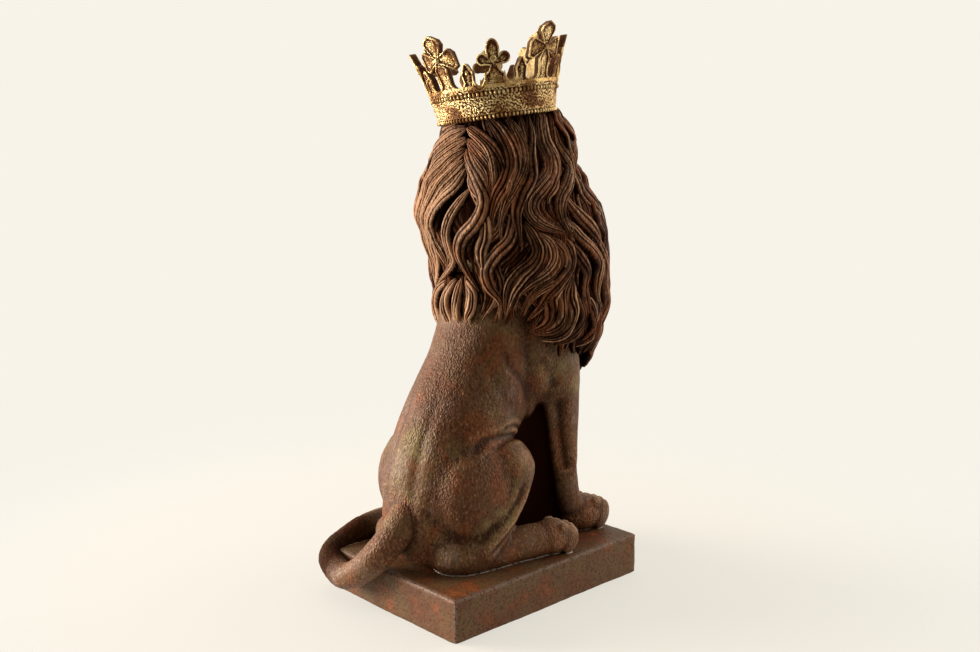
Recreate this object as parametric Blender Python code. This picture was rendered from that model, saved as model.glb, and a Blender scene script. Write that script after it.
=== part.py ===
"""Seated lion statue on a plinth, wearing an open crown.

The lion faces -Y and its right side is -X. The origin is the middle of the plinth's underside.
The lion is modelled the way a sculptor builds up clay: rounded masses are pressed together and smoothed, then
the locks of the mane are laid over them. Its proportions are shares of its own height, written in the
figure's own millimetres above the plinth's top.
"""

import math
import random

import bmesh
import bpy
from mathutils import Matrix, Vector

# Driving sizes, in metres.
PLINTH_LENGTH = 0.270
PLINTH_WIDTH = 0.209
PLINTH_HEIGHT = 0.045
PLINTH_WORN_EDGE = 0.003
LION_HEIGHT = 0.456  # from the plinth's top to the seat of the crown
JOINT_GAP = 0.0003  # between castings that touch

CROWN_BASE_RADIUS = 0.0610  # outside of the wall at its lower edge
CROWN_WALL = 0.0072
CROWN_BAND_HEIGHT = 0.0228  # between the two rows of beads
CROWN_COLLAR_HEIGHT = 0.0085  # plain rim above the upper beads
CROWN_FLARE = 0.14  # how much the wall spreads for each metre of height at its foot
CROWN_CURL = 1.9  # how fast that flare grows with height, for each metre
CROSS_HEIGHT = 0.062  # above the upper row of beads, as the next two
TREFOIL_HEIGHT = 0.051
LOZENGE_HEIGHT = 0.031
CROSS_ARM = 0.0215
BEAD_RADIUS = 0.0021
FLEURON_PAIRS = 4  # crosses, with as many trefoils between them
ROOT_DEPTH = 0.0035  # how far a fleuron is rooted in the collar
FLEURON_INSET = 0.0004  # how far its faces lie inside the wall's
CROWN_TURN = math.radians(4.0)  # how far its back cross is turned towards the lion's right
CROWN_TILT_BACK = math.radians(4.2)
CROWN_TILT_LEFT = math.radians(6.4)

# One of the figure's own millimetres, and where its frame stands.
FIGURE_HEIGHT = 456.0
UNIT = LION_HEIGHT / FIGURE_HEIGHT
CROWN_SEAT_Y = -19.5  # the middle of the crown's lower edge
BACK_EDGE = 135.0  # the figure's frame is this far in front of the plinth's back face
FIGURE_ORIGIN = Vector((0.0, PLINTH_LENGTH / 2 - BACK_EDGE * UNIT, PLINTH_HEIGHT))

CLAY_VOXEL = 0.0036
MANE_VOXEL = 0.0027
LION_TRIANGLES = 5700
SEED = 7


def figure(x, y, z):
    """A point given in the figure's own millimetres, in metres."""
    return FIGURE_ORIGIN + Vector((x, y, z)) * UNIT


def smooth_curve(points, t):
    """The point at t, from 0 to 1, on a smooth curve through tuples of numbers."""
    last = len(points) - 1
    at = min(max(t, 0.0), 1.0) * last
    i = min(int(at), last - 1)
    f = at - i
    before, start, end, after = (points[min(max(i + k, 0), last)] for k in (-1, 0, 1, 2))
    return tuple(
        0.5 * (2 * b + (c - a) * f + (2 * a - 5 * b + 4 * c - d) * f * f + (3 * b - a - 3 * c + d) * f**3)
        for a, b, c, d in zip(before, start, end, after)
    )


def between(table, at):
    """Reads a table of (position, values...) rows at a position, by smooth steps from row to row."""
    if at <= table[0][0]:
        return table[0][1:]
    for low, high in zip(table, table[1:]):
        if at <= high[0]:
            f = (at - low[0]) / (high[0] - low[0])
            f = f * f * (3 - 2 * f)
            return tuple(a + (b - a) * f for a, b in zip(low[1:], high[1:]))
    return table[-1][1:]


def add_rings(bm, rings):
    """Skins a list of rings of points and closes both ends with a fan."""
    made = [[bm.verts.new(p) for p in ring] for ring in rings]
    count = len(made[0])
    for low, high in zip(made, made[1:]):
        for i in range(count):
            j = (i + 1) % count
            bm.faces.new((low[i], low[j], high[j], high[i]))
    for ring, turned in ((made[0], True), (made[-1], False)):
        middle = bm.verts.new(sum((v.co for v in ring), Vector()) / count)
        for i in range(count):
            j = (i + 1) % count
            bm.faces.new((middle, ring[j], ring[i]) if turned else (middle, ring[i], ring[j]))


def add_ellipsoid(bm, centre, radii, turn=(0.0, 0.0, 0.0)):
    """An ellipsoid in the figure's millimetres; turn is in degrees about X, Y and Z."""
    rotation = Matrix.Identity(4)
    for axis, angle in zip("XYZ", turn):
        rotation = Matrix.Rotation(math.radians(angle), 4, axis) @ rotation
    place = Matrix.Translation(figure(*centre)) @ rotation @ Matrix.Diagonal((*(r * UNIT for r in radii), 1.0))
    bmesh.ops.create_icosphere(bm, subdivisions=3, radius=1.0, matrix=place)


def add_limb(bm, points, steps=14, sides=16):
    """A tube through (x, y, z, half-width, half-depth) rows; half-width starts across X and turns with the tube."""
    rings = []
    across = Vector((1.0, 0.0, 0.0))
    for k in range(steps + 1):
        t = k / steps
        x, y, z, wide, deep = smooth_curve(points, t)
        ahead = smooth_curve(points, min(t + 0.02, 1.0))
        behind = smooth_curve(points, max(t - 0.02, 0.0))
        along = Vector(ahead[:3]) - Vector(behind[:3])
        along.normalize()
        across = (across - along * across.dot(along)).normalized()
        other = along.cross(across)
        rings.append(
            [
                figure(x, y, z) + (across * wide * math.cos(a) + other * deep * math.sin(a)) * UNIT
                for a in (math.tau * i / sides for i in range(sides))
            ]
        )
    add_rings(bm, rings)


def add_slab(bm, low, high):
    """A block between two corners in the figure's millimetres."""
    middle, size = figure(*((a + b) / 2 for a, b in zip(low, high))), [(b - a) * UNIT for a, b in zip(low, high)]
    bmesh.ops.create_cube(bm, size=1.0, matrix=Matrix.Translation(middle) @ Matrix.Diagonal((*size, 1.0)))


def add_ellipsoids(bm, centre, radii, turn=(0.0, 0.0, 0.0)):
    """An ellipsoid and its mirror image in the figure's middle plane."""
    for side in (-1, 1):
        add_ellipsoid(bm, (-side * centre[0], *centre[1:]), radii, (turn[0], -side * turn[1], -side * turn[2]))


def add_limbs(bm, points, steps=14):
    """A limb and its mirror image in the figure's middle plane."""
    for side in (-1, 1):
        add_limb(bm, [(side * x, *rest) for x, *rest in points], steps)


def object_of(name, bm):
    mesh = bpy.data.meshes.new(name)
    bmesh.ops.recalc_face_normals(bm, faces=bm.faces)
    bm.to_mesh(mesh)
    bm.free()
    obj = bpy.data.objects.new(name, mesh)
    bpy.context.scene.collection.objects.link(obj)
    return obj


def apply_modifiers(obj):
    bpy.context.view_layer.update()
    graph = bpy.context.evaluated_depsgraph_get()
    mesh = bpy.data.meshes.new_from_object(obj.evaluated_get(graph))
    obj.modifiers.clear()
    obj.data = mesh


def press_together(obj, voxel, smoothing):
    """Makes one skin of overlapping shapes, and smooths the creases between them."""
    remesh = obj.modifiers.new("press_together", "REMESH")
    remesh.mode = "VOXEL"
    remesh.voxel_size = voxel
    if smoothing:
        soften = obj.modifiers.new("soften", "SMOOTH")
        soften.factor = 0.5
        soften.iterations = smoothing
    apply_modifiers(obj)


# The lion's masses, in the figure's millimetres; those off the middle plane are for its right side.

TRUNK = (  # from the seat to the neck
    (0, 58, 14, 60, 60),
    (0, 62, 50, 64, 62),
    (0, 55, 92, 64, 63),
    (0, 35, 140, 61, 62),
    (0, 8, 190, 57, 58),
    (0, -12, 240, 57, 58),
    (0, -28, 300, 60, 62),
)
FORELEG = (
    (-42, -40, 270, 27, 36),
    (-45, -50, 232, 26, 36),
    (-48, -62, 190, 22, 30),
    (-49, -71, 148, 17, 22),
    (-48, -76, 108, 14, 17),
    (-48, -79, 70, 12.5, 14.5),
    (-48, -84, 40, 14, 14),
    (-49, -96, 18, 19, 15),
)
SHIN = (
    (-66, 6, 108, 13, 16),
    (-70, 22, 78, 14, 17),
    (-70, 46, 44, 14, 17),
    (-66, 68, 18, 15, 15),
)
HIND_FOOT = (
    (-60, 78, 14, 14, 15),
    (-65, 46, 14, 16, 15),
    (-70, 8, 17, 18, 18),
    (-74, -20, 16, 21, 17),
)
TAIL = (
    (-3, 88, 74, 23, 23),
    (-6, 116, 52, 19, 19),
    (0, 140, 25, 16.5, 16.5),
    (20, 151, 1, 15, 15),
    (48, 152, -15, 14, 14),
    (76, 146, -15, 14, 14),
    (94, 137, -8, 13, 13.5),
    (98, 114, 2, 13, 14),
    (94, 86, 10, 12, 16),
    (92, 52, 12, 11, 16),
    (90, 20, 11, 14, 16),
    (90, -6, 10, 11, 13),
    (92, -30, 8, 4, 5),
)
# Centre of the paw, then its turn from -Y towards -X in degrees, length, width and height.
FORE_PAW = ((-50, -104, 19), 2, 54, 44, 40)
HIND_PAW = ((-76, -26, 17), 8, 52, 42, 36)
WEB_HALF_WIDTH = 38


def add_body(bm):
    add_limb(bm, TRUNK, steps=20, sides=24)
    add_ellipsoid(bm, (0, -14, 172), (52, 52, 62), (24, 0, 0))
    add_ellipsoid(bm, (0, -56, 236), (58, 46, 66))
    # A web of the casting fills the space between the fore and hind legs.
    add_slab(bm, (-WEB_HALF_WIDTH, -80, -10), (WEB_HALF_WIDTH, 0, 190))
    add_ellipsoids(bm, (-44, 48, 76), (37, 56, 60), (-14, 0, 0))
    add_ellipsoids(bm, (-57, 20, 98), (26, 31, 34), (-30, 0, 0))
    add_ellipsoids(bm, (-42, 72, 18), (34, 38, 26))
    add_ellipsoids(bm, (-38, -34, 220), (30, 34, 66), (-8, 0, 0))
    add_limbs(bm, SHIN)
    add_limbs(bm, FORELEG)
    add_limbs(bm, HIND_FOOT)


def add_paw(bm, centre, turn, length, width, height):
    """Four toes side by side on a pad; turn is the way the paw points, in degrees from -Y towards -X."""
    middle = Vector(centre)
    toe_gap = width / 4
    add_ellipsoid(bm, middle, (width * 0.5, length * 0.52, height * 0.5), (0, 0, -turn))
    for k in (-1.5, -0.5, 0.5, 1.5):
        heading = Matrix.Rotation(math.radians(-turn - k * 5), 3, "Z")
        ahead = length * (0.36 if abs(k) < 1 else 0.26)
        place = heading @ Vector((k * toe_gap, -ahead, -height * 0.06))
        add_ellipsoid(bm, middle + place, (toe_gap * 0.62, length * 0.25, height * 0.43), (14, 0, -turn - k * 5))


def make_clay():
    bm = bmesh.new()
    add_body(bm)
    clay = object_of("clay", bm)
    press_together(clay, CLAY_VOXEL, 8)
    return clay


NOSE = ((0, -96, 432, 14, 9), (0, -114, 411, 12, 9), (0, -128, 395, 13, 9), (0, -137, 381, 15, 9))


def add_head(bm):
    add_ellipsoid(bm, (0, -54, 404), (50, 52, 54))
    add_ellipsoid(bm, (0, -82, 418), (38, 24, 38))
    add_limb(bm, NOSE, steps=8, sides=14)
    add_ellipsoid(bm, (0, -139, 379), (13, 8, 8))
    add_ellipsoid(bm, (0, -112, 372), (30, 24, 20))
    add_ellipsoid(bm, (0, -121, 349), (16, 15, 11))
    add_ellipsoid(bm, (0, -98, 352), (29, 30, 17))
    add_ellipsoids(bm, (-14, -129, 367), (17, 17, 14))
    add_ellipsoids(bm, (-33, -88, 388), (22, 22, 27))
    add_ellipsoids(bm, (-19, -93, 425), (16, 9, 8), (0, -12, 16))
    add_ellipsoids(bm, (-23, -103, 412), (8, 8, 7))
    add_ellipsoids(bm, (-54, -68, 428), (10, 7, 14), (0, -18, 24))


# The mane: distance from an upright axis, by height and by angle from the back.

MANE_ROWS = (  # height; axis y; radius at the back, back corner, side, front corner and front
    (118, -70, 6, 8, 10, 12, 10),
    (134, -64, 36, 38, 42, 46, 46),
    (165, -57, 60, 60, 60, 62, 62),
    (205, -50, 76, 74, 78, 80, 80),
    (235, -45, 86, 82, 88, 93, 90),
    (265, -45, 89, 85, 92, 100, 91),
    (300, -45, 90, 89, 94, 99, 86),
    (335, -45, 95, 97, 94, 97, 78),
    (358, -43, 96, 102, 93, 94, 66),
    (385, -39, 89, 94, 85, 82, 60),
    (410, -35, 79, 81, 73, 70, 58),
    (435, -30, 66, 68, 66, 66, 60),
    (455, -24, 60, 61, 62, 59, 58),
    (470, -22, 48, 48, 48, 48, 48),
    (480, -22, 26, 26, 26, 26, 26),
)
PARTING = 9  # degrees towards the lion's right from the middle of its back
CROWN_LINE = 448  # the height from which the valleys between the locks begin to deepen
CORE_DEPTH = 15  # how deep they go
WAVE_LENGTH = 78


def mane_surface(angle, height, out=0.0):
    """A point on the mane and the direction out of it; angle is in degrees from the back, towards the right."""
    axis_y, *radii = between(MANE_ROWS, height)
    turn = abs((angle + 180) % 360 - 180)
    (radius,) = between(tuple(zip((0, 43, 90, 137, 180), radii)), turn)
    a = math.radians(angle)
    outward = Vector((-math.sin(a), math.cos(a), 0.0))
    return outward * (radius + out) + Vector((0.0, axis_y, height)), outward


def add_mane_core(bm):
    rings = []
    low, high, steps = MANE_ROWS[0][0], MANE_ROWS[-1][0], 28
    for k in range(steps + 1):
        height = low + (high - low) * k / steps
        inset = CORE_DEPTH * min(1.0, max(0.0, (CROWN_LINE - height) / 50))
        rings.append([figure(*mane_surface(360 * i / 48, height, -inset)[0]) for i in range(48)])
    add_rings(bm, rings)


def wave_crest(angle):
    """The height at which the locks near an angle swing furthest from the parting."""
    turn = abs((angle - PARTING + 180) % 360 - 180)
    return between(((0, 362), (24, 362), (42, 334), (180, 334)), turn)[0]


def lock_path(root, tip, swing, lift, shift=0.0, steps=14):
    """Points and outward directions along a wavy lock from root to tip, each an (angle, height) pair.

    The lock drifts from the root's angle to the tip's and swings by up to swing degrees on the way,
    in step with its neighbours but for a shift in height. Its tip stands out by lift.
    """
    side = math.copysign(1.0, root[0] - PARTING)
    path = []
    for k in range(steps + 1):
        t = k / steps
        height = root[1] + (tip[1] - root[1]) * t
        drift = math.sin(0.5 * math.pi * t)
        angle = root[0] + (tip[0] - root[0]) * drift
        crest = wave_crest(angle) + shift
        grown = min(1.0, t * 2.4)
        angle += side * swing * grown * math.cos(math.tau * (height - crest) / WAVE_LENGTH)
        path.append(mane_surface(angle, height, -6 + lift * t**3 - 5 * (1 - t) ** 6))
    return path


def add_lock(bm, path, width, thickness, sides=8):
    """A flattened lock that swells from its root and tapers to a point."""
    rings = []
    last = len(path) - 1
    for k, (point, out) in enumerate(path):
        t = k / last
        along = path[min(k + 1, last)][0] - path[max(k - 1, 0)][0]
        along.normalize()
        normal = (out - along * out.dot(along)).normalized()
        across = along.cross(normal)
        swell = math.sin(math.pi * (0.22 + 0.56 * t))
        taper = min(1.0, (1.04 - t) * 2.6) ** 0.75
        half_width = 0.5 * width * swell * taper
        half_depth = thickness * (0.5 + 0.5 * swell) * min(1.0, (1.06 - t) * 4) ** 0.6
        rings.append(
            [
                figure(*(point + across * half_width * math.cos(a) + normal * half_depth * math.sin(a)))
                for a in (math.tau * i / sides for i in range(sides))
            ]
        )
    add_rings(bm, rings)


def mirrored(angle):
    """The same angle on the other side of the parting."""
    return PARTING - (angle - PARTING) * (180 + PARTING) / (180 - PARTING)


LOCKS = (  # on the right of the parting: root angle and height, tip angle and height, swing, width, thickness
    (11, 452, 36, 384, 3, 24, 9),
    (10, 428, 30, 372, 3, 20, 8),
    (12, 402, 17, 276, 9, 19, 10),
    (30, 468, 30, 352, 11, 26, 10),
    (44, 468, 27, 300, 8, 24, 10),
    (60, 468, 28, 250, 9, 24, 11),
    (74, 468, 44, 322, 9, 22, 9),
    (89, 468, 74, 340, 14, 25, 11),
    (101, 466, 70, 300, 10, 20, 9),
    (114, 464, 84, 322, 11, 26, 11),
    (52, 372, 38, 256, 9, 28, 11),
    (66, 372, 50, 262, 8, 26, 11),
    (80, 368, 62, 262, 8, 26, 11),
    (94, 366, 82, 288, 8, 22, 10),
    (36, 366, 25, 246, 7, 22, 10),
    (126, 440, 100, 300, 9, 24, 10),
    (106, 366, 94, 236, 7, 24, 11),
    (118, 374, 108, 240, 7, 24, 11),
    (138, 420, 118, 290, 8, 26, 11),
    (132, 340, 122, 222, 6, 26, 11),
    (146, 404, 136, 252, 7, 26, 11),
    (158, 364, 150, 216, 6, 26, 11),
    (172, 342, 166, 186, 5, 26, 11),
    (88, 306, 60, 240, 3, 22, 11),
    (92, 304, 73, 226, 3, 22, 11),
    (96, 302, 86, 217, 3, 22, 11),
    (102, 300, 99, 214, 3, 22, 11),
    (113, 292, 112, 208, 4, 22, 11),
    (10, 302, 14, 238, 3, 18, 10),
    (12, 300, 22, 240, 3, 18, 10),
    (128, 286, 126, 202, 4, 24, 11),
    (142, 300, 136, 184, 4, 24, 11),
    (156, 290, 150, 168, 4, 24, 11),
    (170, 280, 165, 148, 4, 24, 11),
    (179, 300, 178, 134, 3, 24, 11),
)


def add_locks(bm):
    chance = random.Random(SEED)
    for root, top, tip, bottom, swing, width, thickness in LOCKS:
        for other_side in (False, True):
            shift = chance.uniform(-4, 4)
            ends = (mirrored(root), mirrored(tip)) if other_side else (root, tip)
            path = lock_path((ends[0], top), (ends[1], bottom), swing, 6, shift)
            add_lock(bm, path, width * chance.uniform(0.95, 1.1), thickness)


def cut(obj, cutter):
    cutter.hide_render = True
    cutter.display_type = "WIRE"
    modifier = obj.modifiers.new("cut_" + cutter.name, "BOOLEAN")
    modifier.operation = "DIFFERENCE"
    modifier.object = cutter


def make_lion():
    clay = make_clay()
    bm = bmesh.new()
    bm.from_mesh(clay.data)
    bpy.data.objects.remove(clay)
    add_head(bm)
    for (x, y, z), turn, length, width, height in (FORE_PAW, HIND_PAW):
        for side in (-1, 1):
            add_paw(bm, (-side * x, y, z), -side * turn, length, width, height)
    add_limb(bm, TAIL, steps=40, sides=12)
    add_mane_core(bm)
    add_locks(bm)
    lion = object_of("lion", bm)
    press_together(lion, MANE_VOXEL, 1)
    reduce = lion.modifiers.new("fewer_faces", "DECIMATE")
    triangles = sum(len(p.vertices) - 2 for p in lion.data.polygons)
    reduce.ratio = min(1.0, LION_TRIANGLES / triangles)
    apply_modifiers(lion)
    cut(lion, make_plinth_cutter())
    cut(lion, make_seat_cutter())
    return lion


def make_block(name, low, high):
    bm = bmesh.new()
    middle = [(a + b) / 2 for a, b in zip(low, high)]
    size = [b - a for a, b in zip(low, high)]
    bmesh.ops.create_cube(bm, size=1.0, matrix=Matrix.Translation(middle) @ Matrix.Diagonal((*size, 1.0)))
    return object_of(name, bm)


def make_plinth_cutter():
    """The plinth's block, larger by the joint, down to well below its underside."""
    half_width = PLINTH_WIDTH / 2 + JOINT_GAP
    half_length = PLINTH_LENGTH / 2 + JOINT_GAP
    top = PLINTH_HEIGHT + JOINT_GAP
    return make_block("plinth_cutter", (-half_width, -half_length, -0.05), (half_width, half_length, top))


def make_plinth():
    half_width, half_length = PLINTH_WIDTH / 2, PLINTH_LENGTH / 2
    plinth = make_block("plinth", (-half_width, -half_length, 0.0), (half_width, half_length, PLINTH_HEIGHT))
    bevel = plinth.modifiers.new("worn_edge", "BEVEL")
    bevel.width = PLINTH_WORN_EDGE
    bevel.segments = 2
    return plinth


# The crown is laid out flat, as (way round, height, depth into the wall), then bent round its cone.


def crown_frame():
    """The middle of the crown's lower edge, tipped towards the lion's back and left."""
    turn = Matrix.Rotation(CROWN_TURN, 4, "Z")
    tip_back = Matrix.Rotation(-CROWN_TILT_BACK, 4, "X")
    tip_left = Matrix.Rotation(CROWN_TILT_LEFT, 4, "Y")
    return Matrix.Translation(figure(0, CROWN_SEAT_Y, FIGURE_HEIGHT)) @ tip_left @ tip_back @ turn


def crown_radius(height):
    """Outside radius of the wall at a height above its lower edge."""
    return CROWN_BASE_RADIUS + CROWN_FLARE * height + CROWN_CURL * height**2


def bend(bm, centre_angle):
    """Bends a flat plate round the crown; its X runs along the lower edge and its Y is depth."""
    for vertex in bm.verts:
        around, depth, height = vertex.co
        angle = centre_angle + around / crown_radius(height)
        radius = crown_radius(height) - depth
        vertex.co = (radius * math.sin(angle), radius * math.cos(angle), height)


def add_plate(bm, outline, centre_angle, front, back, slice_width=0.011):
    """A plate with a flat (way round, height) outline, between two depths, bent round the crown."""
    flat = bmesh.new()
    face = flat.faces.new([flat.verts.new((around, front, height)) for around, height in outline])
    made = bmesh.ops.extrude_face_region(flat, geom=[face])["geom"]
    for item in made:
        if isinstance(item, bmesh.types.BMVert):
            item.co.y = back
    reach = max(abs(around) for around, _ in outline)
    slices = int(reach / slice_width)
    for k in range(-slices, slices + 1):
        everything = flat.verts[:] + flat.edges[:] + flat.faces[:]
        bmesh.ops.bisect_plane(flat, geom=everything, plane_co=(k * slice_width, 0, 0), plane_no=(1, 0, 0))
    bmesh.ops.triangulate(flat, faces=flat.faces)
    bend(flat, centre_angle)
    bmesh.ops.recalc_face_normals(flat, faces=flat.faces)
    mesh = bpy.data.meshes.new("plate")
    flat.to_mesh(mesh)
    flat.free()
    bm.from_mesh(mesh)
    bpy.data.meshes.remove(mesh)


def mirror_outline(half):
    """Closes half an outline, listed from the bottom middle up its right side, with its mirror image."""
    return half + [(-around, height) for around, height in reversed(half) if around > 1e-6]


def arc(centre, radii, start, end, steps):
    """Points on an elliptical arc, in degrees from the way round towards up."""
    wide, high = radii
    angles = [math.radians(start + (end - start) * k / steps) for k in range(steps + 1)]
    return [(centre[0] + wide * math.cos(a), centre[1] + high * math.sin(a)) for a in angles]


def cross_outline(base, top):
    """A flared stem that carries a cross with four spreading arms."""
    middle = base + (top - base) * 0.55
    arm = CROSS_ARM
    neck, lobe = 0.0034, 0.0108
    half = [
        (0.0, base - ROOT_DEPTH),
        (0.0120, base - ROOT_DEPTH),
        (0.0115, base + 0.001),
        (0.0080, base + 0.005),
        (0.0060, base + 0.013),
        (0.0078, middle - 0.0095),
        (neck, middle - neck),
        (arm - 0.005, middle - lobe),
        (arm, middle - lobe * 0.75),
        (arm, middle + lobe * 0.55),
        (arm - 0.004, middle + lobe * 0.9),
        (neck, middle + neck),
        (lobe, top - 0.0095),
        (lobe * 0.85, top - 0.0045),
        (0.0, top),
    ]
    return mirror_outline(half)


def trefoil_outline(base, top):
    """A flared stem that carries three rounded leaves."""
    middle = base + (top - base) * 0.56
    leaf, head_width, head_height = 0.0060, 0.0070, 0.0110
    half = [(0.0, base - ROOT_DEPTH), (0.0120, base - ROOT_DEPTH), (0.0105, base + 0.002), (0.0100, base + 0.010)]
    half += [(0.0072, base + 0.0105), (0.0036, middle - 0.0065)]
    half += arc((0.0110, middle), (leaf, leaf), -110, 110, 6)
    half += arc((0.0, top - head_height), (head_width, head_height), -35, 90, 5)
    return mirror_outline(half)


def lozenge_outline(base, top):
    """A short post that ends in a lozenge."""
    middle = base + (top - base) * 0.55
    half = [(0.0, base - ROOT_DEPTH), (0.0080, base - ROOT_DEPTH), (0.0070, base + 0.002), (0.0045, base + 0.005)]
    half += [(0.0064, middle), (0.0020, top - 0.001), (0.0, top)]
    return mirror_outline(half)


def turned(name, profile, segments):
    """A ring turned about the crown's axis from a closed (radius, height) profile."""
    bm = bmesh.new()
    rings = []
    for k in range(segments):
        a = math.tau * k / segments
        rings.append([bm.verts.new((r * math.sin(a), r * math.cos(a), z)) for r, z in profile])
    count = len(profile)
    for k in range(segments):
        low, high = rings[k], rings[(k + 1) % segments]
        for i in range(count):
            j = (i + 1) % count
            bm.faces.new((low[i], high[i], high[j], low[j]))
    return object_of(name, bm)


def make_seat_cutter():
    """All that the crown needs clear on the head, larger than the crown by the joint."""
    inner = CROWN_BASE_RADIUS - CROWN_WALL - JOINT_GAP
    outer = CROWN_BASE_RADIUS * 2
    top = CROWN_BAND_HEIGHT * 3
    cutter = turned("seat_cutter", ((inner, -JOINT_GAP), (outer, -JOINT_GAP), (outer, top), (inner, top)), 64)
    cutter.matrix_world = crown_frame()
    return cutter


def make_crown():
    foot, band = BEAD_RADIUS, BEAD_RADIUS + CROWN_BAND_HEIGHT
    collar = band + CROWN_COLLAR_HEIGHT
    profile = [(crown_radius(z) + r, z) for z, r in ((0.0, 0.0), (foot, BEAD_RADIUS), (2 * foot, 0.0))]
    profile += [
        (crown_radius(z) + r, z)
        for z, r in ((band - BEAD_RADIUS, 0.0), (band, BEAD_RADIUS), (band + BEAD_RADIUS, 0.0), (collar, 0.0))
    ]
    profile += [(crown_radius(z) - CROWN_WALL, z) for z in (collar, band, 0.0)]
    crown = turned("crown", profile, 40)
    crown.matrix_world = crown_frame()
    fleurons = bmesh.new()
    front, back = FLEURON_INSET, CROWN_WALL - FLEURON_INSET
    step = math.tau / FLEURON_PAIRS
    for k in range(FLEURON_PAIRS):
        add_plate(fleurons, cross_outline(collar, band + CROSS_HEIGHT), k * step, front, back)
        add_plate(fleurons, trefoil_outline(collar, band + TREFOIL_HEIGHT), (k + 0.5) * step, front, back)
        for quarter in (0.25, 0.75):
            outline = lozenge_outline(collar, band + LOZENGE_HEIGHT)
            add_plate(fleurons, outline, (k + quarter) * step, front, back)
    points = object_of("fleurons", fleurons)
    points.matrix_world = crown_frame()
    points.hide_render = True
    points.display_type = "WIRE"
    join = crown.modifiers.new("join_fleurons", "BOOLEAN")
    join.operation = "UNION"
    join.object = points
    return crown


def finish_piece(obj, color, roughness, metallic):
    material = bpy.data.materials.new(obj.name + "_finish")
    material.use_nodes = True
    shader = material.node_tree.nodes["Principled BSDF"]
    shader.inputs["Base Color"].default_value = (*color, 1.0)
    shader.inputs["Roughness"].default_value = roughness
    shader.inputs["Metallic"].default_value = metallic
    obj.data.materials.clear()
    obj.data.materials.append(material)


def main():
    for obj in list(bpy.data.objects):
        bpy.data.objects.remove(obj)
    finish_piece(make_plinth(), (0.13, 0.06, 0.035), 0.6, 0.0)
    finish_piece(make_lion(), (0.14, 0.07, 0.045), 0.6, 0.0)
    finish_piece(make_crown(), (0.62, 0.40, 0.10), 0.35, 0.8)


main()
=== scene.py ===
"""The looks of the crowned lion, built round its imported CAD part.

The proportions repeat the part's own, in the figure's millimetres above the plinth's top, so that each piece
keeps the form and the place of the solid it stands for. The finer carving is added here.
"""

import math
import random

import bmesh
import bpy
import numpy as np
from mathutils import Matrix, Vector, noise
from mathutils.bvhtree import BVHTree


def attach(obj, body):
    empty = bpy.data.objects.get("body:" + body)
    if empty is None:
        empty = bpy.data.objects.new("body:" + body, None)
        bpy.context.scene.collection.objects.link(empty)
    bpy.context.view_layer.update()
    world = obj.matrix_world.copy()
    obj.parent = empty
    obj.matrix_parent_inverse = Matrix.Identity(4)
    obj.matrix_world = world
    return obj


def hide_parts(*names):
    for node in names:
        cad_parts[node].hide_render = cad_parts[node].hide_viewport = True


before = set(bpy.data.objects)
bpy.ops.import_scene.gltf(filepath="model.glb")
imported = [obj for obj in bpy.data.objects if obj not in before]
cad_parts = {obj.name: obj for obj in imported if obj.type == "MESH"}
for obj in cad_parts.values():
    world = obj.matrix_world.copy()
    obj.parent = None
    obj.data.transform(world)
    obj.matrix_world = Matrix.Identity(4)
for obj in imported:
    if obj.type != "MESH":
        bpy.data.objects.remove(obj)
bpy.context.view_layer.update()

# The camera stands where the photograph was taken from.

CAMERA_PLACE = Vector((-0.9191, 0.8539, 0.5274))
CAMERA_TARGET = Vector((-0.0046, -0.0049, 0.2835))
CAMERA_LENS = 44.08
CAMERA_SENSOR = 36.0
PHOTO_SIZE = (980, 652)
UP = Vector((0, 0, 1))
FORWARD = (CAMERA_TARGET - CAMERA_PLACE).normalized()
RIGHT = FORWARD.cross(UP).normalized()

# Sizes of the part, in metres.

MM = 0.001
PLINTH_LENGTH = 0.270
PLINTH_WIDTH = 0.209
PLINTH_HEIGHT = 0.045
FIGURE_HEIGHT = 456.0

CROWN_SEAT_Y = -19.5
CROWN_BASE_RADIUS = 0.0610
CROWN_WALL = 0.0072
CROWN_BAND_HEIGHT = 0.0228
CROWN_COLLAR_HEIGHT = 0.0085
CROWN_FLARE = 0.14
CROWN_CURL = 1.9
CROSS_HEIGHT = 0.062
TREFOIL_HEIGHT = 0.051
LOZENGE_HEIGHT = 0.031
CROSS_ARM = 0.0215
BEAD_RADIUS = 0.0021
BEADS = 96
FLEURON_PAIRS = 4
ROOT_DEPTH = 0.0035
CROWN_TURN = math.radians(4.0)
CROWN_TILT_BACK = math.radians(4.2)
CROWN_TILT_LEFT = math.radians(6.4)

# Voxels of the skins, first rough and then fine, in metres.

BODY_CLAY, BODY_SKIN = 0.0024, 0.00165
HEAD_CLAY, HEAD_SKIN = 0.0015, 0.0011
PLINTH_SKIN = 0.0019

SEED = 7


def figure(x, y, z):
    """A point given in the figure's own millimetres, in metres."""
    return Vector((x * MM, y * MM, z * MM + PLINTH_HEIGHT))


def smooth_curve(points, t):
    """The point at t, from 0 to 1, on a smooth curve through tuples of numbers."""
    last = len(points) - 1
    at = min(max(t, 0.0), 1.0) * last
    i = min(int(at), last - 1)
    f = at - i
    before, start, end, after = (points[min(max(i + k, 0), last)] for k in (-1, 0, 1, 2))
    return tuple(
        0.5 * (2 * b + (c - a) * f + (2 * a - 5 * b + 4 * c - d) * f * f + (3 * b - a - 3 * c + d) * f**3)
        for a, b, c, d in zip(before, start, end, after)
    )


def between(table, at):
    """Reads a table of (position, values...) rows at a position, by smooth steps from row to row."""
    if at <= table[0][0]:
        return table[0][1:]
    for low, high in zip(table, table[1:]):
        if at <= high[0]:
            f = (at - low[0]) / (high[0] - low[0])
            f = f * f * (3 - 2 * f)
            return tuple(a + (b - a) * f for a, b in zip(low[1:], high[1:]))
    return table[-1][1:]


# Building blocks.


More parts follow.
